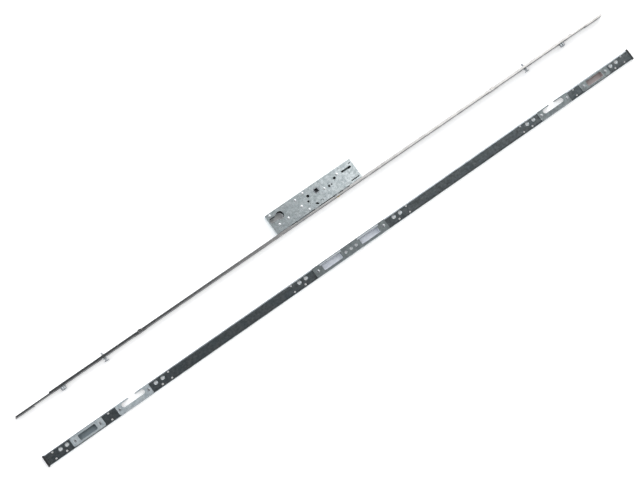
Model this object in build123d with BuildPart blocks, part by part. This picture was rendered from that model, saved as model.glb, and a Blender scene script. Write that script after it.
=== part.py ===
from build123d import *
import math
import os

# A multipoint door lock that lies on its side, and its keep strip that lies face up beside it.
# All sizes are in millimetres and all angles in degrees. X runs along the lock to its upper end,
# Y runs from the faceplate's front towards the back of the gearbox, and Z is up.
# The origin is at half the length of the faceplate, on its front face and its lower edge.

# Faceplate: a long bar that stands on its edge
FACE_LENGTH = 1486.0
FACE_WIDTH = 16.0
FACE_THICK = 2.5
FACE_END_R = 2.0

# Doubling plates on the ends of the faceplate, with their rivets
END_PLATE_LENGTH = 45.0
END_PLATE_THICK = 1.2
END_RIVET_PITCH = 28.0
END_RIVET_R = 1.6
END_RIVET_HEAD_R = 2.6
END_RIVET_HEAD = 0.5

# Faceplate screws that hold the lock to the door's edge, measured from the ends of the faceplate
FACE_SCREW_IN = (623.0, 393.0, 158.0, 59.0)
FACE_SCREW_R = 2.3
FACE_SCREW_HEAD_R = 4.3

# Gearbox case
CASE_LENGTH = 215.0
CASE_BACK = 51.0
CASE_THICK = 15.0
CASE_FRONT = 5.4
SHEET = 1.5
CASE_CORNER_R = 1.2
CASE_BEND_R = 1.0

# Places in the gearbox
BACKSET = 35.0
CENTRES = 92.0
FOLLOWER_X = 12.0
CATCH_X = 44.0
BOLT_X = -43.0

# Holes for the handle's screws, for a profile cylinder and for the cylinder's screw
HANDLE_HOLE_R = 3.0
HANDLE_HOLE_LOW = 21.5
HANDLE_HOLE_HIGH = 46.0
PROFILE_R = 8.7
PROFILE_LEG_W = 10.3
PROFILE_LEG_REACH = 24.7
CYLINDER_SCREW_DROP = 20.5
CYLINDER_SCREW_R = 2.7

# Rivets that join pan and cover
RIVET_PLACES = (
    (-98.5, 46.0),
    (-91.4, 19.9),
    (-69.0, 20.3),
    (-36.6, 42.5),
    (-32.4, 24.7),
    (-23.3, 10.5),
    (-15.6, 46.2),
    (27.8, 28.8),
    (66.8, 38.3),
)
TAIL_RIVET = RIVET_PLACES[4]
LEAF_RIVET = RIVET_PLACES[5]
UPPER_RIVET = RIVET_PLACES[8]
RIVET_R = 1.7
RIVET_SPACER_R = 2.2
RIVET_HEAD_R = 2.8
RIVET_HEAD = 0.5

# Blocks and screws that hold the case to the faceplate
BLOCK_X = (-8.0, 63.0)
BLOCK_LENGTH = 11.0
BLOCK_DEPTH = 7.0
CASE_SCREW_R = 2.0
CASE_SCREW_HEAD_R = 3.8
CASE_SCREW_LENGTH = 8.0

# Clearances: between sliding plates, around a turning shaft, around a bolt, and in plain holes
SLIDE_GAP = 0.2
PLATE_GAP = 0.1
RUNNING_GAP = 0.05
BOLT_GAP = 0.3
HOLE_GAP = 0.1

# Follower with its pinion
TEETH = 16
MODULE = 1.25
PRESSURE_ANGLE = 20.0
ADDENDUM = 1.1
DEDENDUM = 1.35
BACKLASH = 0.24
SQUARE = 8.1
BOSS_R = 7.0
HUB_R = 9.0
QUARTER_TURN = 90.0

# Toothed slides on the floor of the gearbox, with the dogs that carry the rails
SLIDE_THICK = 2.0
SLIDE_BAR_W = 4.4
LOWER_BAR_Y = 12.9
CROSS_W = 8.0
DOG_LENGTH = 8.0
CROSS_CLEAR = 3.0
SLIDE_FRONT_Y = 6.0
RACK_SPARE_TEETH = 4

# Drive rails: how far they end from the faceplate's end, and reach inwards past their dog
RAIL_END_IN = 81.0
RAIL_TAIL = 13.0
RAIL_WIDTH = 11.6
RAIL_THICK = 2.5

# Studs that pass through the faceplate, measured from its ends
PIN_IN = 110.0
MUSHROOM_IN = 209.0
SHANK_R = 3.0
STUD_SEAT = 0.3
MUSHROOM_TIP = 9.2
MUSHROOM_HEAD_R = 5.3
MUSHROOM_HEAD = 2.0
MUSHROOM_STEM_R = 2.6
MUSHROOM_FOOT_R = 7.2
MUSHROOM_FOOT = 3.2
ECCENTRIC = 0.8
FOOT_STEP = 0.4
COLLAR_R = 4.0
COLLAR = 1.2
NECK_R = 1.8
CAP_R = 2.7
CAP_LENGTH = 2.2
CAP_END_Y = 11.2
PIN_TIP = 8.6
PIN_HEAD = 0.7
PIN_HEAD_R = 4.6
PIN_ROLLER_R = 6.0
PIN_WASHER = 0.8
PIN_WASHER_R = 6.6

# Rail guides, measured from the ends of the faceplate
GUIDE_IN = 296.0
GUIDE_PAD_LENGTH = 33.0
GUIDE_PAD_WIDTH = 12.0
GUIDE_PAD = 1.0
GUIDE_LEG_LENGTH = 8.0
GUIDE_LEG = 1.2
GUIDE_BACK = 1.0

# Deadbolt: head, tail with the notch for the key's cam, and the leaf spring in its detents
BOLT_LENGTH = 30.0
BOLT_THICK = 8.0
BOLT_PROUD = 0.5
BOLT_HEAD_END = 20.0
BOLT_TAIL_END = 40.0
BOLT_TAIL_X = (-50.0, -27.0)
BOLT_THROW = 14.0
TALON_X = -66.5
TALON_DEPTH = 5.5
TALON_W = 7.0
TALON_ARM_W = 13.0
DETENT_R = 1.6
DETENT_Y = 24.0
LEAF_THICK = 0.6
LEAF_WIDTH = 6.0
LEAF_END = 36.0

# Roller catch
CATCH_WIDTH = 16.0
CATCH_BACK = 14.0
CATCH_INSET = 0.3
CHEEK = 1.0
CATCH_POCKET_GAP = 0.4
ROLLER_R = 6.0
ROLLER_PROUD = 1.8
ROLLER_SIDE_GAP = 0.2
AXLE_R = 1.75
STEM_R = 2.4
STEM_GRIP = 2.0
SEAT_Y = 31.0
SEAT_THICK = 2.5
SEAT_LENGTH = 14.0
CLIP_R = 3.8
CLIP_THICK = 0.8
STEM_BEYOND_CLIP = 0.6
SPRING_R = 3.3
SPRING_WIRE_R = 0.45
SPRING_TURNS = 6

# Pierced shapes in the cover: start, end, middle and width of the straight slots
OBLONG = (77.0, 101.0, 36.3, 5.0)
THIN_SLOT = (84.0, 104.0, 10.1, 2.0)
SHORT_SLOT = (99.0, 105.0, 43.4, 1.8)
SMALL_HOLES = ((-15.0, 25.3, 2.2), (39.7, 27.5, 2.7), (45.9, 27.6, 1.7))
OVAL_PLACE = (-2.0, 11.6)
OVAL_SIZE = (7.0, 3.6)
OVAL_TURN = -35.0
TAB_PLACE = (9.8, 11.1)
TAB_SIZE = (6.0, 4.0)
TAB_SLOT = 0.8

# Keep strip: a channel that stands on the edges of its flanges, a little longer than the faceplate
STRIP_Y = -103.0
STRIP_SPARE = 1.0
STRIP_WIDTH = 24.0
STRIP_HEIGHT = 8.0
STRIP_SHEET = 1.5
STRIP_BEND_R = 3.5
END_CAP = 4.0
END_CAP_OVER = 0.5
END_CAP_PLUG = 5.0

# Fixing holes of the strip: in pairs across it, and in threes of two sunk holes and a plain one.
# The inner ones are measured from its middle, and the outer ones from its ends.
INNER_PAIR_X = 146.5
OUTER_PAIRS_IN = (295.5, 152.5, 21.5)
PAIR_SPACING = 15.0
PAIR_R = 2.1
INNER_TRIAD_X = (112.0, 128.0, 119.5)
OUTER_TRIADS_IN = ((280.0, 263.5, 273.0), (53.0, 38.0, 46.5))
TRIAD_SUNK_Y = 3.4
TRIAD_PLAIN_Y = -7.0
TRIAD_R = 2.3
TRIAD_HEAD_R = 4.2
TRIAD_BOSS_R = 4.6
TRIAD_BOSS = 0.9
DIMPLE_IN = 8.0
DIMPLE_SPACING = 6.0
DIMPLE_R = 1.0

# Keeps on the strip
KEEP_THICK = 1.6
KEEP_CORNER_R = 3.0
KEEP_SCREW_R = 1.7
KEEP_SCREW_HEAD_R = 3.3
KEEP_SCREW_LENGTH = 4.5
SLOT_KEEP_SHIFT = 11.0
SLOT_KEEP_LENGTH = 75.0
SLOT_KEEP_WIDTH = 19.5
SLOT_KEEP_SCREW = 29.5
SLOT_LENGTH = 41.0
SLOT_WIDTH = 12.0
SLOT_CORNER_R = 3.0
ROLLER_KEEP_LENGTH = 80.0
ROLLER_KEEP_WIDTH = 22.0
ROLLER_KEEP_SCREW = 34.5
ROLLER_SLOT_LENGTH = 53.5
ROLLER_SLOT_WIDTH = 10.0
ROLLER_SLOT_Y = 3.6
ROLLER_MOUTH = 16.0
CENTRE_KEEP_LENGTH = 183.0
CENTRE_KEEP_WIDTH = 23.0
CENTRE_KEEP_SCREW = 83.0
WINDOW_X = 47.5
WINDOW_LENGTH = 46.0
WINDOW_WIDTH = 12.4
WINDOW_CORNER_R = 1.0
CENTRE_HOLE_PITCH = 13.0
CENTRE_HOLE_R = 2.0
CENTRE_HOLE_HEAD_R = 3.1
RAMP_LENGTH = 54.0
RAMP_WIDTH = 3.6
RAMP_RISE = 1.2
RAMP_EDGE = 0.3
BOX_WALL = 1.0
BOX_FLOOR_Z = 0.4

# Values that follow from the ones above
MID_Z = FACE_WIDTH / 2
END_PLATE_MID = (FACE_LENGTH - END_PLATE_LENGTH) / 2
CYLINDER_X = FOLLOWER_X - CENTRES
CYLINDER_SCREW_X = CYLINDER_X - CYLINDER_SCREW_DROP
CASE_Z = (FACE_WIDTH - CASE_THICK) / 2
PAN_Z = CASE_Z + SHEET
LID_Z = CASE_Z + CASE_THICK - SHEET
TOP_Z = CASE_Z + CASE_THICK
PITCH_R = TEETH * MODULE / 2
TOOTH_PITCH = math.pi * MODULE
THROW = math.radians(QUARTER_TURN) * PITCH_R
SLIDE_Z = PAN_Z + PLATE_GAP
RACK_TEETH = round(THROW / TOOTH_PITCH) + RACK_SPARE_TEETH
LOWER_ROOT_Y = BACKSET - PITCH_R - DEDENDUM
UPPER_ROOT_Y = BACKSET + PITCH_R + DEDENDUM
UPPER_BACK_Y = CASE_BACK - SHEET - BOLT_GAP
CROSS_X = UPPER_RIVET[0] + RIVET_SPACER_R + CROSS_CLEAR
DOG_REACH = CROSS_X + CROSS_W + DOG_LENGTH
RAIL_IN = DOG_REACH - RAIL_TAIL
RAIL_OUT = FACE_LENGTH / 2 - RAIL_END_IN
PIN_X = FACE_LENGTH / 2 - PIN_IN
MUSHROOM_X = FACE_LENGTH / 2 - MUSHROOM_IN
GUIDE_X = FACE_LENGTH / 2 - GUIDE_IN
FACE_SCREW_X = [FACE_LENGTH / 2 - distance for distance in FACE_SCREW_IN]
RAIL_Y = FACE_THICK + SLIDE_GAP
RAIL_BACK = RAIL_Y + RAIL_THICK
BOLT_BASE_Z = SLIDE_Z + SLIDE_THICK + BOLT_GAP
BOLT_TOP_Z = BOLT_BASE_Z + BOLT_THICK
BOLT_MID_Z = BOLT_BASE_Z + BOLT_THICK / 2
LEAF_FACE_X = LEAF_RIVET[0] - RIVET_SPACER_R - HOLE_GAP - LEAF_THICK
ROLLER_Y = ROLLER_R - ROLLER_PROUD
CLIP_Y = SEAT_Y + SEAT_THICK + SLIDE_GAP
STEM_END_Y = CLIP_Y + CLIP_THICK + STEM_BEYOND_CLIP
WEB_Z = STRIP_HEIGHT - STRIP_SHEET
KEEP_TOP_Z = STRIP_HEIGHT + KEEP_THICK
STRIP_END = (FACE_LENGTH + STRIP_SPARE) / 2
CHANNEL_END = STRIP_END - END_CAP
PAIR_X = [INNER_PAIR_X] + [STRIP_END - distance for distance in OUTER_PAIRS_IN]
TRIADS = [INNER_TRIAD_X] + [[STRIP_END - distance for distance in three] for three in OUTER_TRIADS_IN]
SLOT_KEEP_X = PIN_X + SLOT_KEEP_SHIFT
ENDS = (("upper", 1), ("lower", -1))

os.makedirs("parts", exist_ok=True)


def save(builder, name):
    """Label a finished piece and write it to its own file."""
    builder.part.label = name
    export_step(builder.part, f"parts/{name}.step")


def facing_front(x, y, z=MID_Z):
    """Plane at a point of the lock that looks out of the front of the faceplate."""
    return Plane(origin=(x, y, z), x_dir=(1, 0, 0), z_dir=(0, -1, 0))


def block(x, y, z, mode=Mode.ADD):
    """Box between two values along each axis, each given as a pair."""
    with BuildSketch(Plane.XY.offset(min(z))) as profile:
        with Locations((sum(x) / 2, sum(y) / 2)):
            Rectangle(abs(x[1] - x[0]), abs(y[1] - y[0]))
    extrude(profile.sketch, amount=abs(z[1] - z[0]), mode=mode)


def rod(x, radius, y0, y1, z=MID_Z, mode=Mode.ADD):
    """Round bar along Y from y0 to y1."""
    with BuildSketch(facing_front(x, y1, z)) as profile:
        Circle(radius)
    extrude(profile.sketch, amount=y1 - y0, mode=mode)


def disc(x, y, radius, z0, z1, mode=Mode.ADD):
    """Round bar along Z from z0 to z1."""
    with BuildSketch(Plane.XY.offset(z0)) as profile:
        with Locations((x, y)):
            Circle(radius)
    extrude(profile.sketch, amount=z1 - z0, mode=mode)


def sink_front(places, radius, head_r, depth):
    """Countersunk holes along Y that open on the front of the faceplate."""
    with Locations(*[facing_front(x, 0) for x in places]):
        CounterSinkHole(radius, head_r, depth=depth, counter_sink_angle=90)


def sink_top(places, z, radius, head_r, depth):
    """Countersunk holes along Z that open upwards at a height z."""
    with Locations(*[(x, y, z) for x, y in places]):
        CounterSinkHole(radius, head_r, depth=depth, counter_sink_angle=90)


def rect(x0, x1, y0, y1):
    """Rectangle between two values along each axis of the current sketch."""
    with Locations(((x0 + x1) / 2, (y0 + y1) / 2)):
        Rectangle(abs(x1 - x0), abs(y1 - y0))


# Fixed pieces of the lock

def stud_slot(x, side):
    """Middle and length of the faceplate slot in which the stud at x travels outwards."""
    length = THROW + 2 * (SHANK_R + SLIDE_GAP)
    return side * (x + THROW / 2), length


def make_faceplate():
    """Bar with openings for bolt and catch, slots for the studs, and screw holes."""
    opening_z = BOLT_THICK + 2 * BOLT_GAP
    with BuildPart() as faceplate:
        with BuildSketch(facing_front(0, FACE_THICK)):
            RectangleRounded(FACE_LENGTH, FACE_WIDTH, FACE_END_R)
        extrude(amount=FACE_THICK)
        with BuildSketch(facing_front(0, FACE_THICK)):
            with Locations((BOLT_X, BOLT_MID_Z - MID_Z)):
                Rectangle(BOLT_LENGTH + 2 * BOLT_GAP, opening_z)
            with Locations((CATCH_X, BOLT_MID_Z - MID_Z)):
                Rectangle(CATCH_WIDTH + 2 * BOLT_GAP, opening_z)
            for _, side in ENDS:
                for x in (PIN_X, MUSHROOM_X):
                    middle, length = stud_slot(x, side)
                    with Locations((middle, 0)):
                        SlotOverall(length, 2 * (SHANK_R + SLIDE_GAP))
                for edge in (-1, 1):
                    with Locations((side * GUIDE_X, edge * (FACE_WIDTH / 2 - GUIDE_LEG / 2))):
                        Rectangle(GUIDE_LEG_LENGTH + 2 * HOLE_GAP, GUIDE_LEG + 2 * HOLE_GAP)
                for shift in (-END_RIVET_PITCH / 2, END_RIVET_PITCH / 2):
                    with Locations((side * END_PLATE_MID + shift, 0)):
                        Circle(END_RIVET_R)
        extrude(amount=FACE_THICK, mode=Mode.SUBTRACT)
        face_screws = [side * x for _, side in ENDS for x in FACE_SCREW_X]
        sink_front(face_screws, FACE_SCREW_R, FACE_SCREW_HEAD_R, FACE_THICK)
        sink_front([CYLINDER_SCREW_X], CYLINDER_SCREW_R, FACE_SCREW_HEAD_R, FACE_THICK)
        sink_front(BLOCK_X, CASE_SCREW_R + HOLE_GAP, CASE_SCREW_HEAD_R + HOLE_GAP, FACE_THICK)
    save(faceplate, "faceplate")


def make_end_plate(name, side):
    """Doubling plate on the front of one end of the faceplate."""
    with BuildPart() as plate:
        with BuildSketch(facing_front(side * END_PLATE_MID, 0)):
            RectangleRounded(END_PLATE_LENGTH, FACE_WIDTH, FACE_END_R)
            with GridLocations(END_RIVET_PITCH, 0, 2, 1):
                Circle(END_RIVET_R, mode=Mode.SUBTRACT)
        extrude(amount=END_PLATE_THICK)
    save(plate, f"end_plate_{name}")


def make_end_rivets():
    """Rivets through the doubling plates and the faceplate."""
    with BuildPart() as rivets:
        for _, side in ENDS:
            for shift in (-END_RIVET_PITCH / 2, END_RIVET_PITCH / 2):
                x = side * END_PLATE_MID + shift
                rod(x, END_RIVET_R, -END_PLATE_THICK, FACE_THICK)
                rod(x, END_RIVET_HEAD_R, -END_PLATE_THICK - END_RIVET_HEAD, -END_PLATE_THICK)
                rod(x, END_RIVET_HEAD_R, FACE_THICK, FACE_THICK + END_RIVET_HEAD)
    save(rivets, "end_plate_rivets")


def make_rail_guides():
    """Clips around faceplate and rail: a pad in front, two legs, and a bridge behind the rail."""
    bridge_y = RAIL_BACK + SLIDE_GAP
    leg_z = FACE_WIDTH / 2 - HOLE_GAP - GUIDE_LEG / 2
    with BuildPart() as guides:
        for _, side in ENDS:
            with BuildSketch(facing_front(side * GUIDE_X, 0)):
                SlotOverall(GUIDE_PAD_LENGTH, GUIDE_PAD_WIDTH)
                Rectangle(GUIDE_LEG_LENGTH, 2 * leg_z + GUIDE_LEG)
            extrude(amount=GUIDE_PAD)
            with BuildSketch(facing_front(side * GUIDE_X, bridge_y)):
                with Locations((0, -leg_z), (0, leg_z)):
                    Rectangle(GUIDE_LEG_LENGTH, GUIDE_LEG)
            extrude(amount=bridge_y)
            with BuildSketch(facing_front(side * GUIDE_X, bridge_y + GUIDE_BACK)):
                Rectangle(GUIDE_LEG_LENGTH, 2 * leg_z + GUIDE_LEG)
            extrude(amount=GUIDE_BACK)
    save(guides, "rail_guides")


def case_holes():
    """Shapes of the holes that go through both sheets of the case, in the current sketch."""
    with Locations((FOLLOWER_X, BACKSET)):
        Circle(BOSS_R + RUNNING_GAP)
    with Locations((FOLLOWER_X - HANDLE_HOLE_LOW, BACKSET), (FOLLOWER_X + HANDLE_HOLE_HIGH, BACKSET)):
        Circle(HANDLE_HOLE_R)
    with Locations((CYLINDER_X, BACKSET)):
        Circle(PROFILE_R)
    leg_r = PROFILE_LEG_W / 2
    leg_end = CYLINDER_X - PROFILE_LEG_REACH + leg_r
    rect(leg_end, CYLINDER_X, BACKSET - leg_r, BACKSET + leg_r)
    with Locations((leg_end, BACKSET)):
        Circle(leg_r)
    with Locations(*RIVET_PLACES):
        Circle(RIVET_R)


def make_case_body():
    """Pan of the gearbox: bottom sheet with three walls, open towards the faceplate."""
    half = CASE_LENGTH / 2
    inner = half - SHEET
    with BuildPart() as body:
        block((-half, half), (CASE_FRONT, CASE_BACK), (CASE_Z, LID_Z))
        fillet(body.edges().filter_by(Axis.Z).group_by(Axis.Y)[-1], CASE_CORNER_R)
        low_edges = body.edges().group_by(Axis.Z)[0]
        fillet(low_edges.filter_by(lambda edge: edge.center().Y > CASE_FRONT + SHEET), CASE_BEND_R)
        block((-inner, inner), (0, CASE_BACK - SHEET), (PAN_Z, FACE_WIDTH), Mode.SUBTRACT)
        with BuildSketch(Plane.XY.offset(CASE_Z)):
            case_holes()
        extrude(amount=SHEET, mode=Mode.SUBTRACT)
    save(body, "case_body")


def make_case_cover():
    """Flat lid of the gearbox, with the pierced shapes that show on its face."""
    half = CASE_LENGTH / 2
    with BuildPart() as cover:
        block((-half, half), (CASE_FRONT, CASE_BACK), (LID_Z, TOP_Z))
        fillet(cover.edges().filter_by(Axis.Z).group_by(Axis.Y)[-1], CASE_CORNER_R)
        with BuildSketch(Plane.XY.offset(LID_Z)):
            case_holes()
            for start, end, middle, width in (OBLONG, THIN_SLOT, SHORT_SLOT):
                with Locations(((start + end) / 2, middle)):
                    SlotOverall(end - start, width)
            for x, y, radius in SMALL_HOLES:
                with Locations((x, y)):
                    Circle(radius)
            with Locations(Location((*OVAL_PLACE, 0), OVAL_TURN)):
                SlotOverall(*OVAL_SIZE)
            with Locations(TAB_PLACE):
                Rectangle(*TAB_SIZE)
                with Locations((-TAB_SLOT, -TAB_SLOT)):
                    Rectangle(*TAB_SIZE, mode=Mode.SUBTRACT)
        extrude(amount=SHEET, mode=Mode.SUBTRACT)
    save(cover, "case_cover")


def make_case_rivets():
    """Spacer rivets between pan and cover, with a head on each sheet."""
    with BuildPart() as rivets:
        for x, y in RIVET_PLACES:
            disc(x, y, RIVET_R, CASE_Z, TOP_Z)
            disc(x, y, RIVET_SPACER_R, PAN_Z, LID_Z)
            disc(x, y, RIVET_HEAD_R, CASE_Z - RIVET_HEAD, CASE_Z)
            disc(x, y, RIVET_HEAD_R, TOP_Z, TOP_Z + RIVET_HEAD)
    save(rivets, "case_rivets")


def make_fixing_blocks():
    """Threaded blocks between the case and the back of the faceplate."""
    with BuildPart() as blocks:
        for x in BLOCK_X:
            ends = (x - BLOCK_LENGTH / 2, x + BLOCK_LENGTH / 2)
            block(ends, (FACE_THICK, FACE_THICK + BLOCK_DEPTH), (PAN_Z, LID_Z))
            rod(x, CASE_SCREW_R, FACE_THICK, FACE_THICK + BLOCK_DEPTH, mode=Mode.SUBTRACT)
    save(blocks, "fixing_blocks")


def make_case_screws():
    """Countersunk screws through the faceplate into the blocks."""
    cone = CASE_SCREW_HEAD_R - CASE_SCREW_R
    with BuildPart() as screws:
        for x in BLOCK_X:
            rod(x, CASE_SCREW_R, 0, CASE_SCREW_LENGTH)
            with Locations(facing_front(x, 0)):
                Cone(CASE_SCREW_R, CASE_SCREW_HEAD_R, cone, align=(Align.CENTER, Align.CENTER, Align.MAX))
    save(screws, "case_screws")


# Follower, slides and rails

def tooth_half_angle(radius):
    """Half the angle that a pinion tooth fills at a radius, in radians."""
    base_r = PITCH_R * math.cos(math.radians(PRESSURE_ANGLE))
    at_pitch = (math.pi * MODULE / 2 - BACKLASH / 2) / (2 * PITCH_R)
    pitch_angle = math.radians(PRESSURE_ANGLE)
    angle = math.acos(min(1.0, base_r / radius))
    involute = math.tan(angle) - angle
    return at_pitch + (math.tan(pitch_angle) - pitch_angle) - involute


def tooth_points():
    """Outline of one pinion tooth that points along local X, from root to tip and back."""
    root_r = PITCH_R - DEDENDUM - HOLE_GAP
    tip_r = PITCH_R + ADDENDUM
    radii = (root_r, (root_r + PITCH_R) / 2, PITCH_R, (PITCH_R + tip_r) / 2, tip_r)
    flank = [(r, tooth_half_angle(r)) for r in radii]
    low_side = [(r * math.cos(a), -r * math.sin(a)) for r, a in flank]
    high_side = [(r * math.cos(a), r * math.sin(a)) for r, a in reversed(flank)]
    return low_side + high_side


def make_follower():
    """Hub with the square for the handle's spindle, turning in both sheets, with its pinion."""
    pinion_top = SLIDE_Z + SLIDE_THICK + SLIDE_GAP
    with BuildPart() as follower:
        disc(FOLLOWER_X, BACKSET, BOSS_R, CASE_Z, TOP_Z)
        disc(FOLLOWER_X, BACKSET, HUB_R, pinion_top, LID_Z - PLATE_GAP)
        with BuildSketch(Plane.XY.offset(SLIDE_Z)):
            with Locations((FOLLOWER_X, BACKSET)):
                Circle(PITCH_R - DEDENDUM)
                with PolarLocations(0, TEETH):
                    Polygon(*tooth_points(), align=None)
        extrude(amount=pinion_top - SLIDE_Z)
        with BuildSketch(Plane.XY.offset(CASE_Z)):
            with Locations((FOLLOWER_X, BACKSET)):
                Rectangle(SQUARE, SQUARE)
        extrude(amount=CASE_THICK, mode=Mode.SUBTRACT)
    save(follower, "follower")


def rack(root_y, side):
    """Teeth of one slide: side is the way the slide moves along X, and the teeth face the pinion."""
    towards = 1 if root_y < BACKSET else -1
    slope = math.tan(math.radians(PRESSURE_ANGLE))
    half = TOOTH_PITCH / 4 - BACKLASH / 4
    root_half = half + DEDENDUM * slope
    tip_half = half - ADDENDUM * slope
    height = DEDENDUM + ADDENDUM
    for count in range(RACK_TEETH):
        x = FOLLOWER_X - side * (count - RACK_SPARE_TEETH / 2 + 0.5) * TOOTH_PITCH
        points = (
            (x - root_half, root_y),
            (x + root_half, root_y),
            (x + tip_half, root_y + towards * height),
            (x - tip_half, root_y + towards * height),
        )
        Polygon(*points, align=None)


def make_lower_slide():
    """Slide in front of the pinion, which carries the lower rail by its dog."""
    near = FOLLOWER_X - RACK_SPARE_TEETH / 2 * TOOTH_PITCH
    far = FOLLOWER_X + (RACK_TEETH - RACK_SPARE_TEETH / 2) * TOOTH_PITCH
    with BuildPart() as slide:
        with BuildSketch(Plane.XY.offset(SLIDE_Z)):
            rect(-DOG_REACH, far, LOWER_BAR_Y, LOWER_BAR_Y + SLIDE_BAR_W)
            rect(near, far, LOWER_BAR_Y, LOWER_ROOT_Y)
            rect(-DOG_REACH, -DOG_REACH + DOG_LENGTH, RAIL_Y, LOWER_BAR_Y)
            rack(LOWER_ROOT_Y, -1)
        extrude(amount=SLIDE_THICK)
    save(slide, "lower_slide")


def make_upper_slide():
    """Slide behind the pinion, with a cross bar to the front and the dog of the upper rail."""
    far = FOLLOWER_X - (RACK_TEETH - RACK_SPARE_TEETH / 2) * TOOTH_PITCH
    near = FOLLOWER_X + RACK_SPARE_TEETH / 2 * TOOTH_PITCH
    front_end = SLIDE_FRONT_Y + CROSS_W
    with BuildPart() as slide:
        with BuildSketch(Plane.XY.offset(SLIDE_Z)):
            rect(far, CROSS_X + CROSS_W, UPPER_ROOT_Y, UPPER_BACK_Y)
            rect(near, CROSS_X + CROSS_W, UPPER_BACK_Y - SLIDE_BAR_W, UPPER_BACK_Y)
            rect(CROSS_X, CROSS_X + CROSS_W, SLIDE_FRONT_Y, UPPER_BACK_Y)
            rect(CROSS_X, DOG_REACH, SLIDE_FRONT_Y, front_end)
            rect(DOG_REACH - DOG_LENGTH, DOG_REACH, RAIL_Y, front_end)
            rack(UPPER_ROOT_Y, 1)
        extrude(amount=SLIDE_THICK)
    save(slide, "upper_slide")


def make_rail(name, side):
    """Drive rail with slots for the faceplate screws, stud holes, and a notch for the dog."""
    fixed_screws = [(x, FACE_SCREW_R) for x in FACE_SCREW_X if x < RAIL_OUT]
    if side < 0:
        fixed_screws.append((-CYLINDER_SCREW_X, CYLINDER_SCREW_R))
    rail_mid = side * (RAIL_IN + RAIL_OUT) / 2
    dog_mid = side * (DOG_REACH - DOG_LENGTH / 2)
    notch_top = SLIDE_Z + SLIDE_THICK + PLATE_GAP
    low_edge = MID_Z - RAIL_WIDTH / 2
    with BuildPart() as rail:
        with BuildSketch(facing_front(rail_mid, RAIL_BACK)):
            Rectangle(RAIL_OUT - RAIL_IN, RAIL_WIDTH)
        extrude(amount=RAIL_THICK)
        with BuildSketch(facing_front(0, RAIL_BACK)):
            for x, radius in fixed_screws:
                with Locations((side * (x - THROW / 2), 0)):
                    SlotOverall(THROW + 2 * (radius + BOLT_GAP), 2 * (radius + BOLT_GAP))
            with Locations((side * PIN_X, 0)):
                Circle(SHANK_R)
            with Locations((side * MUSHROOM_X, 0)):
                Circle(SHANK_R + RUNNING_GAP)
            with Locations((dog_mid, (low_edge + notch_top) / 2 - MID_Z)):
                Rectangle(DOG_LENGTH + 2 * PLATE_GAP, notch_top - low_edge)
        extrude(amount=RAIL_THICK, mode=Mode.SUBTRACT)
    save(rail, f"{name}_rail")


# Studs on the rails

def make_pin(name, side):
    """Riveted axle with a washer and a head, and the roller that turns on it."""
    x = side * PIN_X
    roller_front = -PIN_TIP + PIN_HEAD + PLATE_GAP
    roller_back = -STUD_SEAT - PIN_WASHER - PLATE_GAP
    with BuildPart() as stud:
        rod(x, SHANK_R, -PIN_TIP, RAIL_BACK)
        rod(x, PIN_WASHER_R, -STUD_SEAT - PIN_WASHER, -STUD_SEAT)
        rod(x, PIN_HEAD_R, -PIN_TIP, -PIN_TIP + PIN_HEAD)
    save(stud, f"pin_stud_{name}")
    with BuildPart() as roller:
        rod(x, PIN_ROLLER_R, roller_front, roller_back)
        rod(x, SHANK_R + RUNNING_GAP, roller_front, roller_back, mode=Mode.SUBTRACT)
    save(roller, f"pin_roller_{name}")


def make_mushroom(name, side):
    """Eccentric stud with a mushroom head, and the cap that holds it behind the rail."""
    x = side * MUSHROOM_X
    head_x = x + ECCENTRIC
    shank_end = RAIL_BACK + PLATE_GAP
    foot_front = -STUD_SEAT - MUSHROOM_FOOT
    with BuildPart() as stud:
        rod(x, SHANK_R, -STUD_SEAT, shank_end)
        with Locations(facing_front(x, -STUD_SEAT)):
            Cone(
                MUSHROOM_FOOT_R,
                MUSHROOM_STEM_R + ECCENTRIC + FOOT_STEP,
                MUSHROOM_FOOT,
                align=(Align.CENTER, Align.CENTER, Align.MIN),
            )
        rod(head_x, MUSHROOM_STEM_R, -MUSHROOM_TIP, foot_front)
        rod(head_x, MUSHROOM_HEAD_R, -MUSHROOM_TIP, -MUSHROOM_TIP + MUSHROOM_HEAD)
    save(stud, f"mushroom_stud_{name}")
    with BuildPart() as cap:
        rod(x, COLLAR_R, shank_end, shank_end + COLLAR)
        rod(x, NECK_R, shank_end, CAP_END_Y)
        rod(x, CAP_R, CAP_END_Y - CAP_LENGTH, CAP_END_Y)
    save(cap, f"mushroom_cap_{name}")


# Deadbolt

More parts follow.
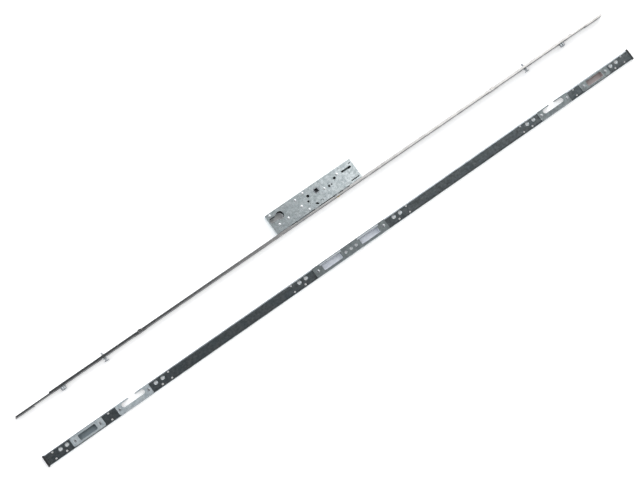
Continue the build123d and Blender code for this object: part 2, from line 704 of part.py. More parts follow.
def make_deadbolt():
    """Flat bolt: head in the faceplate, tail with a guide slot, and the notch for the key's cam."""
    tail_left, tail_right = BOLT_TAIL_X
    slot_r = RIVET_SPACER_R + BOLT_GAP
    talon_mid = BACKSET + BOLT_THROW / 2
    rivet_x, rivet_y = TAIL_RIVET
    with BuildPart() as bolt:
        with BuildSketch(Plane.XY.offset(BOLT_BASE_Z)):
            rect(BOLT_X - BOLT_LENGTH / 2, BOLT_X + BOLT_LENGTH / 2, -BOLT_PROUD, BOLT_HEAD_END)
            rect(tail_left, tail_right, BOLT_HEAD_END, BOLT_TAIL_END)
            rect(TALON_X, tail_left, talon_mid - TALON_ARM_W / 2, talon_mid + TALON_ARM_W / 2)
            with Locations((TALON_X, talon_mid)):
                Rectangle(2 * TALON_DEPTH, TALON_W, mode=Mode.SUBTRACT)
            with Locations((rivet_x, rivet_y)):
                Circle(slot_r, mode=Mode.SUBTRACT)
            with Locations((rivet_x, (rivet_y + BOLT_TAIL_END) / 2)):
                Rectangle(2 * slot_r, BOLT_TAIL_END - rivet_y, mode=Mode.SUBTRACT)
            for y in (DETENT_Y, DETENT_Y + BOLT_THROW):
                with Locations((LEAF_FACE_X, y)):
                    Circle(DETENT_R + HOLE_GAP, mode=Mode.SUBTRACT)
        extrude(amount=BOLT_THICK)
        chamfer(bolt.edges().group_by(Axis.Y)[0], BOLT_PROUD / 2)
    save(bolt, "deadbolt")


def make_deadbolt_spring():
    """Leaf spring around a rivet, with a bump that sits in the bolt's detent."""
    rivet_x, rivet_y = LEAF_RIVET
    eye_r = RIVET_SPACER_R + HOLE_GAP
    with BuildPart() as spring:
        with BuildSketch(Plane.XY.offset(BOLT_MID_Z - LEAF_WIDTH / 2)):
            with Locations((rivet_x, rivet_y)):
                Circle(eye_r + LEAF_THICK)
            rect(LEAF_FACE_X, LEAF_FACE_X + LEAF_THICK, rivet_y, LEAF_END)
            with Locations((LEAF_FACE_X, DETENT_Y)):
                Circle(DETENT_R)
            with Locations((LEAF_FACE_X + LEAF_THICK + DETENT_R / 2, DETENT_Y)):
                Rectangle(DETENT_R, 2 * DETENT_R, mode=Mode.SUBTRACT)
            with Locations((rivet_x, rivet_y)):
                Circle(eye_r, mode=Mode.SUBTRACT)
        extrude(amount=LEAF_WIDTH)
    save(spring, "deadbolt_spring")


# Roller catch

def make_catch():
    """Fork with its roller, axle, stem, clip, spring and seat."""
    left = CATCH_X - CATCH_WIDTH / 2
    right = CATCH_X + CATCH_WIDTH / 2
    pocket_r = ROLLER_R + CATCH_POCKET_GAP
    inner_z = (BOLT_BASE_Z + CHEEK, BOLT_TOP_Z - CHEEK)
    with BuildPart() as fork:
        block((left, right), (CATCH_INSET, CATCH_BACK), (BOLT_BASE_Z, BOLT_TOP_Z))
        pocket_x = (CATCH_X - pocket_r, CATCH_X + pocket_r)
        block(pocket_x, (CATCH_INSET, ROLLER_Y + pocket_r), inner_z, Mode.SUBTRACT)
        disc(CATCH_X, ROLLER_Y, AXLE_R, BOLT_BASE_Z, BOLT_TOP_Z, Mode.SUBTRACT)
        rod(CATCH_X, STEM_R, CATCH_BACK - STEM_GRIP, CATCH_BACK, BOLT_MID_Z, Mode.SUBTRACT)
    save(fork, "catch_fork")
    with BuildPart() as axle:
        disc(CATCH_X, ROLLER_Y, AXLE_R, BOLT_BASE_Z, BOLT_TOP_Z)
    save(axle, "catch_axle")
    roller_z = (inner_z[0] + ROLLER_SIDE_GAP, inner_z[1] - ROLLER_SIDE_GAP)
    with BuildPart() as roller:
        disc(CATCH_X, ROLLER_Y, ROLLER_R, *roller_z)
        disc(CATCH_X, ROLLER_Y, AXLE_R + RUNNING_GAP, *roller_z, Mode.SUBTRACT)
    save(roller, "catch_roller")
    with BuildPart() as stem:
        rod(CATCH_X, STEM_R, CATCH_BACK - STEM_GRIP, STEM_END_Y, BOLT_MID_Z)
    save(stem, "catch_stem")
    with BuildPart() as clip:
        rod(CATCH_X, CLIP_R, CLIP_Y, CLIP_Y + CLIP_THICK, BOLT_MID_Z)
        rod(CATCH_X, STEM_R, CLIP_Y, CLIP_Y + CLIP_THICK, BOLT_MID_Z, Mode.SUBTRACT)
    save(clip, "catch_clip")
    seat_x = (CATCH_X - SEAT_LENGTH / 2, CATCH_X + SEAT_LENGTH / 2)
    with BuildPart() as seat:
        block(seat_x, (SEAT_Y, SEAT_Y + SEAT_THICK), (PAN_Z, LID_Z))
        rod(CATCH_X, STEM_R + HOLE_GAP, SEAT_Y, SEAT_Y + SEAT_THICK, BOLT_MID_Z, Mode.SUBTRACT)
    save(seat, "catch_seat")
    height = SEAT_Y - CATCH_BACK - 2 * SPRING_WIRE_R
    start = (CATCH_X, SEAT_Y - SPRING_WIRE_R, BOLT_MID_Z)
    with BuildPart() as spring:
        with BuildLine():
            coil = Helix(height / SPRING_TURNS, height, SPRING_R, start, (0, -1, 0))
        with BuildSketch(Plane(origin=coil @ 0, z_dir=coil % 0)):
            Circle(SPRING_WIRE_R)
        sweep(path=coil, is_frenet=True)
    save(spring, "catch_spring")


# Keep strip

def strip_section(gap, bend_r, low_z):
    """Section of the channel's outside, or of its inside when a gap is given."""
    half = STRIP_WIDTH / 2 - gap
    with BuildSketch(Plane.YZ.offset(-CHANNEL_END)) as section:
        rect(STRIP_Y - half, STRIP_Y + half, low_z, STRIP_HEIGHT - gap)
        fillet(section.vertices().group_by(Axis.Y)[-1], bend_r)
    return section.sketch


def box_shape(length, width, corner_r, grow):
    """Outline of a keep box that is grow larger all round than its window."""
    RectangleRounded(length + 2 * grow, width + 2 * grow, corner_r + grow)


def keep_windows():
    """Middle and size of each window that has a box behind it."""
    windows = []
    for name, side in ENDS:
        windows.append((f"slot_box_{name}", side * SLOT_KEEP_X, SLOT_LENGTH, SLOT_WIDTH, SLOT_CORNER_R))
    windows.append(("latch_box", WINDOW_X, WINDOW_LENGTH, WINDOW_WIDTH, WINDOW_CORNER_R))
    windows.append(("bolt_box", -WINDOW_X, WINDOW_LENGTH, WINDOW_WIDTH, WINDOW_CORNER_R))
    return windows


def keep_screw_places():
    """Places of the screws that hold the keeps."""
    places = []
    for _, side in ENDS:
        for shift in (-SLOT_KEEP_SCREW, SLOT_KEEP_SCREW):
            places.append((side * SLOT_KEEP_X + shift, STRIP_Y))
        for shift in (-ROLLER_KEEP_SCREW, ROLLER_KEEP_SCREW):
            places.append((side * MUSHROOM_X + shift, STRIP_Y))
        places.append((side * CENTRE_KEEP_SCREW, STRIP_Y))
    return places


def make_strip_channel():
    """Long channel with the fixing holes, pressed in where they are sunk, and the keeps' openings."""
    pairs = []
    sunk = []
    plain = []
    for _, side in ENDS:
        for x in PAIR_X:
            pairs += [(side * x, STRIP_Y - PAIR_SPACING / 2), (side * x, STRIP_Y + PAIR_SPACING / 2)]
        for first, second, single in TRIADS:
            sunk += [(side * first, STRIP_Y + TRIAD_SUNK_Y), (side * second, STRIP_Y + TRIAD_SUNK_Y)]
            plain.append((side * single, STRIP_Y + TRIAD_PLAIN_Y))
    flange_y = (STRIP_Y + ROLLER_SLOT_Y, STRIP_Y + STRIP_WIDTH / 2 + STRIP_SHEET)
    with BuildPart() as channel:
        extrude(strip_section(0, STRIP_BEND_R, 0), amount=2 * CHANNEL_END)
        inside = strip_section(STRIP_SHEET, STRIP_BEND_R - STRIP_SHEET, -STRIP_SHEET)
        extrude(inside, amount=2 * CHANNEL_END, mode=Mode.SUBTRACT)
        with BuildSketch(Plane.XY.offset(WEB_Z)):
            for _, x, length, width, corner_r in keep_windows():
                with Locations((x, STRIP_Y)):
                    box_shape(length, width, corner_r, BOX_WALL + SLIDE_GAP)
            with Locations(*pairs):
                Circle(PAIR_R)
            with Locations(*plain):
                Circle(TRIAD_R)
            for _, side in ENDS:
                for row in (-DIMPLE_SPACING, 0, DIMPLE_SPACING):
                    with Locations((side * (STRIP_END - DIMPLE_IN), STRIP_Y + row)):
                        Circle(DIMPLE_R)
                with Locations((side * MUSHROOM_X, STRIP_Y + ROLLER_SLOT_Y)):
                    SlotOverall(ROLLER_SLOT_LENGTH, ROLLER_SLOT_WIDTH)
            with Locations((0, STRIP_Y)):
                with GridLocations(CENTRE_HOLE_PITCH, 0, 3, 1):
                    Circle(CENTRE_HOLE_R)
            with Locations(*keep_screw_places()):
                Circle(KEEP_SCREW_R)
        extrude(amount=STRIP_SHEET, mode=Mode.SUBTRACT)
        for _, side in ENDS:
            mouth = (side * MUSHROOM_X - ROLLER_MOUTH / 2, side * MUSHROOM_X + ROLLER_MOUTH / 2)
            block(mouth, flange_y, (0, STRIP_HEIGHT), Mode.SUBTRACT)
        for x, y in sunk:
            disc(x, y, TRIAD_BOSS_R, WEB_Z - TRIAD_BOSS, WEB_Z)
        sink_top(sunk, STRIP_HEIGHT, TRIAD_R, TRIAD_HEAD_R, STRIP_SHEET + TRIAD_BOSS)
    save(channel, "strip_channel")


def make_strip_end_caps():
    """Caps on both ends of the channel, each with a plug inside it."""
    plug_half = STRIP_WIDTH / 2 - STRIP_SHEET - SLIDE_GAP
    with BuildPart() as caps:
        for _, side in ENDS:
            cap_y = (STRIP_Y - STRIP_WIDTH / 2 - END_CAP_OVER, STRIP_Y + STRIP_WIDTH / 2 + END_CAP_OVER)
            block((side * CHANNEL_END, side * STRIP_END), cap_y, (0, STRIP_HEIGHT + END_CAP_OVER))
            plug_x = (side * (CHANNEL_END - END_CAP_PLUG), side * CHANNEL_END)
            plug_y = (STRIP_Y - plug_half, STRIP_Y + plug_half)
            block(plug_x, plug_y, (SLIDE_GAP, WEB_Z - STRIP_BEND_R / 2))
    save(caps, "strip_end_caps")


def screw_sinks(places):
    """Countersunk holes of the keep screws in the top of a keep."""
    sink_top(places, KEEP_TOP_Z, KEEP_SCREW_R, KEEP_SCREW_HEAD_R, KEEP_THICK)


def make_slot_keep(name, side):
    """Keep with a closed slot for the pin roller."""
    x = side * SLOT_KEEP_X
    with BuildPart() as keep:
        with BuildSketch(Plane.XY.offset(STRIP_HEIGHT)):
            with Locations((x, STRIP_Y)):
                RectangleRounded(SLOT_KEEP_LENGTH, SLOT_KEEP_WIDTH, KEEP_CORNER_R)
                RectangleRounded(SLOT_LENGTH, SLOT_WIDTH, SLOT_CORNER_R, mode=Mode.SUBTRACT)
        extrude(amount=KEEP_THICK)
        screw_sinks([(x - SLOT_KEEP_SCREW, STRIP_Y), (x + SLOT_KEEP_SCREW, STRIP_Y)])
    save(keep, f"slot_keep_{name}")


def make_roller_keep(name, side):
    """Keep with a slot that is open towards the lock, for the mushroom stud."""
    x = side * MUSHROOM_X
    slot_y = STRIP_Y + ROLLER_SLOT_Y
    with BuildPart() as keep:
        with BuildSketch(Plane.XY.offset(STRIP_HEIGHT)):
            with Locations((x, STRIP_Y)):
                RectangleRounded(ROLLER_KEEP_LENGTH, ROLLER_KEEP_WIDTH, KEEP_CORNER_R)
            with Locations((x, slot_y)):
                SlotOverall(ROLLER_SLOT_LENGTH, ROLLER_SLOT_WIDTH, mode=Mode.SUBTRACT)
            with Locations((x, slot_y + ROLLER_KEEP_WIDTH / 2)):
                Rectangle(ROLLER_MOUTH, ROLLER_KEEP_WIDTH, mode=Mode.SUBTRACT)
        extrude(amount=KEEP_THICK)
        screw_sinks([(x - ROLLER_KEEP_SCREW, STRIP_Y), (x + ROLLER_KEEP_SCREW, STRIP_Y)])
    save(keep, f"roller_keep_{name}")


def make_centre_keep():
    """Long keep with the windows of catch and deadbolt, and three small holes between them."""
    with BuildPart() as keep:
        with BuildSketch(Plane.XY.offset(STRIP_HEIGHT)):
            with Locations((0, STRIP_Y)):
                RectangleRounded(CENTRE_KEEP_LENGTH, CENTRE_KEEP_WIDTH, WINDOW_CORNER_R)
                with GridLocations(2 * WINDOW_X, 0, 2, 1):
                    RectangleRounded(WINDOW_LENGTH, WINDOW_WIDTH, WINDOW_CORNER_R, mode=Mode.SUBTRACT)
        extrude(amount=KEEP_THICK)
        screw_sinks([(-CENTRE_KEEP_SCREW, STRIP_Y), (CENTRE_KEEP_SCREW, STRIP_Y)])
        row = [(place * CENTRE_HOLE_PITCH, STRIP_Y) for place in (-1, 0, 1)]
        sink_top(row, KEEP_TOP_Z, CENTRE_HOLE_R, CENTRE_HOLE_HEAD_R, KEEP_THICK)
    save(keep, "centre_keep")


def make_ramp(name, side):
    """Sloped lip on the lock side of a window, which leads the catch in."""
    inner_y = STRIP_Y + WINDOW_WIDTH / 2 + RAMP_EDGE
    outer_y = inner_y + RAMP_WIDTH
    x = side * WINDOW_X
    with BuildPart() as ramp:
        with BuildSketch(Plane.YZ.offset(x - RAMP_LENGTH / 2)):
            Polygon(
                (inner_y, KEEP_TOP_Z),
                (outer_y, KEEP_TOP_Z),
                (outer_y, KEEP_TOP_Z + RAMP_EDGE),
                (inner_y, KEEP_TOP_Z + RAMP_RISE),
                align=None,
            )
        extrude(amount=RAMP_LENGTH)
    save(ramp, f"ramp_{name}")


def make_keep_boxes():
    """Dust boxes behind the windows, open at the top and closed at the bottom."""
    for name, x, length, width, corner_r in keep_windows():
        with BuildPart() as box:
            with BuildSketch(Plane.XY.offset(BOX_FLOOR_Z)):
                with Locations((x, STRIP_Y)):
                    box_shape(length, width, corner_r, BOX_WALL)
            extrude(amount=STRIP_HEIGHT - BOX_FLOOR_Z)
            with BuildSketch(Plane.XY.offset(BOX_FLOOR_Z + BOX_WALL)):
                with Locations((x, STRIP_Y)):
                    box_shape(length, width, corner_r, 0)
            extrude(amount=STRIP_HEIGHT, mode=Mode.SUBTRACT)
        save(box, name)


def make_keep_screws():
    """Countersunk screws that hold the keeps to the channel."""
    cone = KEEP_SCREW_HEAD_R - KEEP_SCREW_R
    with BuildPart() as screws:
        for x, y in keep_screw_places():
            disc(x, y, KEEP_SCREW_R, KEEP_TOP_Z - KEEP_SCREW_LENGTH, KEEP_TOP_Z)
            with Locations((x, y, KEEP_TOP_Z)):
                Cone(KEEP_SCREW_R, KEEP_SCREW_HEAD_R, cone, align=(Align.CENTER, Align.CENTER, Align.MAX))
    save(screws, "keep_screws")


make_faceplate()
make_end_rivets()
make_rail_guides()
make_case_body()
make_case_cover()
make_case_rivets()
make_fixing_blocks()
make_case_screws()
make_follower()
make_lower_slide()
make_upper_slide()
make_deadbolt()
make_deadbolt_spring()
make_catch()
make_strip_channel()
make_strip_end_caps()
make_centre_keep()
make_keep_boxes()
make_keep_screws()
for end_name, end_side in ENDS:
    make_end_plate(end_name, end_side)
    make_rail(end_name, end_side)
    make_pin(end_name, end_side)
    make_mushroom(end_name, end_side)
    make_slot_keep(end_name, end_side)
    make_roller_keep(end_name, end_side)
    make_ramp(end_name, end_side)
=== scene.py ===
import logging
import math
from collections.abc import Callable
from dataclasses import dataclass, replace
from enum import Enum

import bmesh
import bpy
from mathutils import Matrix, Vector


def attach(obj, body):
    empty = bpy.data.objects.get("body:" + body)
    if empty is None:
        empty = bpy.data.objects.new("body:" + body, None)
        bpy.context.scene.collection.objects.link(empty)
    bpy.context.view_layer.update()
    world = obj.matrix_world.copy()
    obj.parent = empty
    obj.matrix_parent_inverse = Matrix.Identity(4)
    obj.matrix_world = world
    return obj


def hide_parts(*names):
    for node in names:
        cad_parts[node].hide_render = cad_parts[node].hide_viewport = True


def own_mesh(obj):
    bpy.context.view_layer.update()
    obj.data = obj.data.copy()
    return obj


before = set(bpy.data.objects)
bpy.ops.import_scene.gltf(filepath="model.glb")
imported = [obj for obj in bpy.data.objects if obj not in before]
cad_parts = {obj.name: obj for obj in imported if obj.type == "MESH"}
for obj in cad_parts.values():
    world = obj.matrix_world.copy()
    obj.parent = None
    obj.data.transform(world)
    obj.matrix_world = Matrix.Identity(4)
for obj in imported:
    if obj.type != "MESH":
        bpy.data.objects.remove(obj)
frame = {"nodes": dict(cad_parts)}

# A multipoint door lock and its keep strip, as they lie on a pale table.
# X runs along the lock to its upper end, Y from the faceplate's front to the back of the gearbox,
# and Z is up. Sizes and places of the pieces are millimetres. Those of the table and the lamps are
# metres, as in the scene.

MM = 0.001
LOCK_MID_Z = 8.0
ROOT = "lock_and_strip"
log = logging.getLogger("door_lock")

Shape = bmesh.types.BMesh
Socket = bpy.types.NodeSocket
Tree = bpy.types.NodeTree
Point = tuple[float, float]
Place = tuple[float, float, float]

# Directions for the axis of a turned piece.
UP = (0, 0, 1)
INTO_LOCK = (0, 1, 0)
OUT_OF_FRONT = (0, -1, 0)

# Sockets of a Mix node that mixes colours.
MIX_SHARE, MIX_FIRST, MIX_SECOND, MIX_RESULT = 0, 6, 7, 2

# Parts of a face's normal along an axis, which tell what kind of face it is.
FRONT, LEVEL, SLANT, FLANGE, END_OF_CONE = 0.9, 0.97, 0.15, 0.85, 0.1

# Points of a turned profile nearer than this are one.
WELD_MM = 0.0005


class Side(Enum):
    """End of the lock, with the sign of its places along X."""

    UPPER = 1
    LOWER = -1

    @property
    def word(self) -> str:
        """Name of the end, as the nodes spell it."""
        return self.name.lower()


class Grain(Enum):
    """Way in which the fine lines of a surface run, as the pattern's scale along X, Y and Z."""

    ROLLED_ALONG_X = (0.02, 1.0, 1.0)
    TURNED_ABOUT_Y = (0.12, 1.0, 0.12)
    TURNED_ABOUT_Z = (0.12, 0.12, 1.0)
    EVEN = (1.0, 1.0, 1.0)


def linear(code: str) -> tuple[float, float, float, float]:
    """Turn an sRGB hex colour to linear.

    Args:
        code: Six hex digits, with or without a hash sign.

    Returns:
        Red, green, blue and a full alpha as linear values.
    """
    digits = code.lstrip("#")
    channels = [int(digits[i:i + 2], 16) / 255 for i in (0, 2, 4)]
    red, green, blue = (c / 12.92 if c <= 0.04045 else ((c + 0.055) / 1.055) ** 2.4 for c in channels)
    return red, green, blue, 1.0


def add_node(tree: Tree, kind: str, inputs: dict | None = None, **settings: str) -> bpy.types.Node:
    """Add a shader node with its settings and links.

    Args:
        tree: Node tree that gets the node.
        kind: Node type without its ShaderNode prefix.
        inputs: Input name or number, with the value or the socket that feeds it.
        **settings: Properties of the node.

    Returns:
        The new node.
    """
    node = tree.nodes.new("ShaderNode" + kind)
    for name, value in settings.items():
        setattr(node, name, value)
    for key, value in (inputs or {}).items():
        if isinstance(value, Socket):
            tree.links.new(value, node.inputs[key])
        else:
            node.inputs[key].default_value = value
    return node


@dataclass(frozen=True)
class Finish:
    """Surface of one kind of piece: what it is made of, how it was made and how it has aged."""

    title: str
    slot: str
    base: str
    cloud: str
    tint: str
    metallic: float = 1.0
    roughness: float = 0.32
    roughness_spread: float = 0.06
    grain: Grain = Grain.EVEN
    grain_mm: float = 0.6
    grain_depth_mm: float = 0.008
    grain_tone: float = 0.06
    cloud_mm: float = 9.0
    tint_amount: float = 0.25
    speck_mm: float = 3.0
    speck_amount: float = 0.12
    spangle_mm: float = 4.0
    spangle_tone: float = 0.04

    # Values of a noise between which skin patches, tint drifts and all else fade in.
    patch_reach = (0.38, 0.64)
    drift_reach = (0.42, 0.66)
    noise_reach = (0.3, 0.7)
    # Distances from the middle of a speck, in cells, at which it starts and stops to fade out.
    speck_reach = (0.1, 0.28)
    # Size of a drift against a patch.
    drift_share = 2.7

    def worn_colour(self, tree: Tree, place: Socket, patches: Socket, lines: Socket) -> Socket:
        """Lay the colours of skin, film, crystals, lines and specks over each other.

        Args:
            tree: Node tree of the material.
            place: Socket with the position on the piece.
            patches: Socket with the pattern of soft patches.
            lines: Socket with the pattern of fine lines.

        Returns:
            Socket with the colour.
        """
        # Plating and casting skin dry in soft patches, a little lighter and darker than each other.
        # The passivation film shows as a faint blue or straw tint in drifts larger than the patches.
        scale = 1 / (self.drift_share * self.cloud_mm * MM)
        drifts = add_node(tree, "TexNoise", {"Vector": place, "Scale": scale, "Detail": 2.0})
        colour = linear(self.base)
        for value, reach, other, amount in (
            (patches, self.patch_reach, self.cloud, 1.0),
            (drifts.outputs["Fac"], self.drift_reach, self.tint, self.tint_amount),
        ):
            share = add_node(
                tree, "MapRange",
                {"Value": value, "From Min": reach[0], "From Max": reach[1], "To Max": amount},
            )
            layers = {MIX_SHARE: share.outputs[0], MIX_FIRST: colour, MIX_SECOND: linear(other)}
            colour = add_node(tree, "Mix", layers, data_type="RGBA").outputs[MIX_RESULT]

        # Crystals of zinc and grains of steel take the light differently, each with its own tone.
        # Lines of rolling or turning are finer than this in life, and are drawn coarse enough to show.
        # Small dull specks are dust, pickling marks and rub marks from the stack.
        crystals, specks = (
            add_node(tree, "TexVoronoi", {"Vector": place, "Scale": 1 / (size * MM)}).outputs
            for size in (self.spangle_mm, self.speck_mm)
        )
        crystal = add_node(tree, "SeparateColor", {"Color": crystals["Color"]}).outputs[0]
        for value, reach, tones in (
            (crystal, (0.0, 1.0), (1 - self.spangle_tone, 1 + self.spangle_tone)),
            (lines, self.noise_reach, (1 - self.grain_tone, 1 + self.grain_tone)),
            (specks["Distance"], self.speck_reach, (1 - self.speck_amount, 1.0)),
        ):
            factor = add_node(
                tree, "MapRange",
                {"Value": value, "From Min": reach[0], "From Max": reach[1],
                 "To Min": tones[0], "To Max": tones[1]},
            )
            scaled = {0: colour, "Scale": factor.outputs[0]}
            colour = add_node(tree, "VectorMath", scaled, operation="SCALE").outputs["Vector"]
        return colour

    def build(self) -> bpy.types.Material:
        """Build the material's nodes.

        Returns:
            The finished material.
        """
        material = bpy.data.materials.new(self.title)
        material.use_nodes = True
        tree = material.node_tree
        place = add_node(tree, "TexCoord").outputs["Object"]
        along = add_node(tree, "Mapping", {"Vector": place, "Scale": self.grain.value}).outputs["Vector"]
        patches, lines = (
            add_node(
                tree, "TexNoise", {"Vector": at, "Scale": 1 / (size * MM), "Detail": detail}
            ).outputs["Fac"]
            for at, size, detail in ((place, self.cloud_mm, 3.0), (along, self.grain_mm, 4.0))
        )
        gloss = add_node(
            tree, "MapRange",
            {"Value": patches, "From Min": self.noise_reach[0], "From Max": self.noise_reach[1],
             "To Min": self.roughness - self.roughness_spread,
             "To Max": self.roughness + self.roughness_spread},
        )
        depth = self.grain_depth_mm * MM
        bump = add_node(tree, "Bump", {"Height": lines, "Distance": depth, "Strength": 1.0})
        sources = {
            "Base Color": self.worn_colour(tree, place, patches, lines),
            "Roughness": gloss.outputs[0],
            "Normal": bump.outputs["Normal"],
        }
        shader = tree.nodes["Principled BSDF"]
        shader.inputs["Metallic"].default_value = self.metallic
        for name, source in sources.items():
            tree.links.new(source, shader.inputs[name])
        return material


class Finishes(Enum):
    """The finishes of the lock and the strip, each with the record's material slot."""

    # Bright zinc plate on rolled strip steel: pale grey, with fine lines along the bar.
    FACEPLATE_ZINC = Finish(
        "zinc plated strip steel, rolled", "faceplate_zinc", "#c7c5c3", "#bab9b6", "#b5b4b4",
        roughness=0.17, roughness_spread=0.03, grain=Grain.ROLLED_ALONG_X, grain_mm=0.7,
        grain_depth_mm=0.002, grain_tone=0.04, cloud_mm=16.0, speck_mm=5.0, speck_amount=0.06,
        spangle_tone=0.02,
    )
    # The front of the bar, brushed along its length, in a darker satin: the darker colour is painted shade,
    # for the dim table that the front mirrors.
    SHADED_FRONT_ZINC = Finish(
        "brushed zinc plated steel", "faceplate_zinc", "#57595c", "#4e5153", "#4b5054", roughness=0.34,
        grain=Grain.ROLLED_ALONG_X, grain_mm=0.5, grain_depth_mm=0.004, cloud_mm=16.0, speck_mm=5.0,
        speck_amount=0.06, spangle_tone=0.02,
    )
    # Zinc plate on pressed sheet: cloudy and spangled, because the sheet was plated before pressing.
    CASE_ZINC = Finish(
        "zinc plated pressed sheet, spangled", "case_zinc", "#ced5d7", "#b4bdc0", "#a8b3b1",
        roughness=0.17, roughness_spread=0.05, grain_mm=0.8, grain_depth_mm=0.006, cloud_mm=6.0,
        speck_mm=3.4, speck_amount=0.26, spangle_mm=3.6, spangle_tone=0.13,
    )
    # Zinc plate on the sliding rails: rubbed smooth by their travel.
    RAIL_ZINC = replace(
        FACEPLATE_ZINC, title="zinc plated rail, rubbed", slot="rail_zinc", base="#cbcac9",
        cloud="#bab9b8", tint="#b4b3b5", roughness=0.16, grain_mm=0.6, grain_tone=0.05, cloud_mm=14.0,
        speck_mm=4.0,
    )
    # Bare turned steel of studs and screws: fine rings about the axis and a soft gloss.
    STUD_STEEL = Finish(
        "turned steel", "stud_steel", "#aeb1b3", "#999da1", "#91959b", roughness=0.28,
        grain=Grain.TURNED_ABOUT_Y, grain_mm=0.35, cloud_mm=5.0, tint_amount=0.12, speck_mm=2.0,
        speck_amount=0.08, spangle_mm=1.5,
    )
    # Rivets of the case and axle of the catch: bright steel with rings about the upright axis, painted
    # lighter still to stand for their highlights.
    RIVET_STEEL = replace(
        STUD_STEEL, title="bright cold headed steel", base="#eceef0", cloud="#d5d9dc", tint="#c9ced1",
        roughness=0.36, grain=Grain.TURNED_ABOUT_Z, cloud_mm=4.0, speck_mm=1.8, speck_amount=0.10,
    )
    # Drawn spring wire and leaf: dark from its heat treatment, smooth.
    SPRING_STEEL = Finish(
        "drawn spring steel", "spring_steel", "#7d8084", "#66696e", "#6f6a63", roughness=0.30,
        grain_mm=0.4, grain_depth_mm=0.004, cloud_mm=4.0, tint_amount=0.2, speck_mm=1.6, spangle_mm=1.5,
    )
    # Die cast zinc: satin skin with a fine pebble from the mould.
    FOLLOWER_CASTING = Finish(
        "die cast zinc", "follower_casting", "#a9aeb2", "#969ba0", "#a09e96", roughness=0.42,
        grain_mm=0.5, grain_depth_mm=0.020, cloud_mm=5.0, tint_amount=0.18, speck_mm=1.6,
        speck_amount=0.14, spangle_mm=1.5,
    )
    # Dark passivated zinc on the channel: a slate film with fine mottling and rolling lines.
    STRIP_ZINC = Finish(
        "dark passivated zinc on rolled channel", "strip_zinc", "#5b6062", "#4e5254", "#4b555a",
        roughness=0.38, grain=Grain.ROLLED_ALONG_X, grain_mm=0.9, grain_depth_mm=0.006, grain_tone=0.08,
        cloud_mm=7.0, tint_amount=0.45, speck_mm=3.6, speck_amount=0.22, spangle_mm=3.0,
        spangle_tone=0.14,
    )
    # Bend of the channel on the lock's side: lighter zinc painted on as a highlight where the light falls
    # on the bend. The ramps take the same plain zinc as their own colour.
    BEND_HIGHLIGHT_AND_RAMP_ZINC = Finish(
        "zinc of a bend, film rubbed off", "keep_zinc", "#a6abae", "#8f959a", "#858f97", roughness=0.32,
        grain=Grain.ROLLED_ALONG_X, grain_mm=0.9, grain_depth_mm=0.002, cloud_mm=7.0, speck_mm=3.6,
        speck_amount=0.15, spangle_mm=3.0,
    )
    # Pressed keeps: lighter than the channel, with the grey green cast of thicker plating.
    KEEP_ZINC = Finish(
        "zinc plated pressed keep", "keep_zinc", "#838a8b", "#73797b", "#707c80", roughness=0.38,
        roughness_spread=0.07, grain_mm=0.7, grain_depth_mm=0.010, grain_tone=0.05, cloud_mm=8.0,
        speck_amount=0.16, spangle_mm=3.5, spangle_tone=0.09,
    )
    # The keeps of the lower end are the same plating painted paler, with a blue cast: painted light, as the
    # light falls stronger on that end.
    LIT_KEEP_ZINC = replace(
        KEEP_ZINC, title="bright zinc plated pressed keep", base="#bfc6c9", cloud="#a4adb2",
        tint="#9fabb3", roughness=0.50, roughness_spread=0.05,
    )
    # Edges and countersinks of the keeps, and flanges and sunk holes of the channel: painted bright as
    # highlights where they catch the light.
    HIGHLIGHT_ZINC = Finish(
        "zinc plate, rubbed bright", "keep_zinc", "#dfe3e5", "#ccd2d5", "#c3cdd2", roughness=0.34,
        grain_mm=0.7, grain_depth_mm=0.004, cloud_mm=8.0, speck_amount=0.10, spangle_mm=3.5,
    )
    # Injection moulded boxes behind the two middle windows: white, half matt, spark eroded grain.
    BOX_PLASTIC = Finish(
        "moulded white nylon", "box_plastic", "#e4e7ec", "#dadee5", "#dde0ea", metallic=0.0,
        roughness=0.55, grain_mm=0.5, grain_depth_mm=0.015, grain_tone=0.02, tint_amount=0.3,
        speck_mm=2.5, speck_amount=0.04, spangle_tone=0.02,
    )
    # The box behind the lower slot: the same moulding in a cool grey.
    COOL_BOX_PLASTIC = replace(
        BOX_PLASTIC, title="moulded cool grey nylon", base="#7f888d", cloud="#778389", tint="#76848d",
        grain_tone=0.03, tint_amount=0.4, speck_amount=0.06,
    )
    # The box behind the upper slot: a warmer batch.
    WARM_BOX_PLASTIC = replace(
        COOL_BOX_PLASTIC, title="moulded warm grey nylon", base="#b3a8a7", cloud="#b9aaa6",
        tint="#aaa2a6",
    )
    # Moulded end caps: black, half matt.
    CAP_PLASTIC = replace(
        COOL_BOX_PLASTIC, title="moulded black nylon", slot="cap_plastic", base="#1b1c1e",
        cloud="#232427", tint="#1f2226", roughness=0.48, grain_tone=0.04, cloud_mm=7.0, tint_amount=0.3,
    )
    # Turned brass of the catch's roller: warm, smooth, with faint rings.
    ROLLER_BRASS = Finish(
        "turned brass", "roller_brass", "#bca878", "#ab986a", "#9b8c68", roughness=0.27,
        grain=Grain.TURNED_ABOUT_Z, grain_mm=0.35, grain_depth_mm=0.006, grain_tone=0.05, cloud_mm=4.0,
        tint_amount=0.2, speck_mm=1.8, speck_amount=0.08, spangle_mm=1.5,
    )


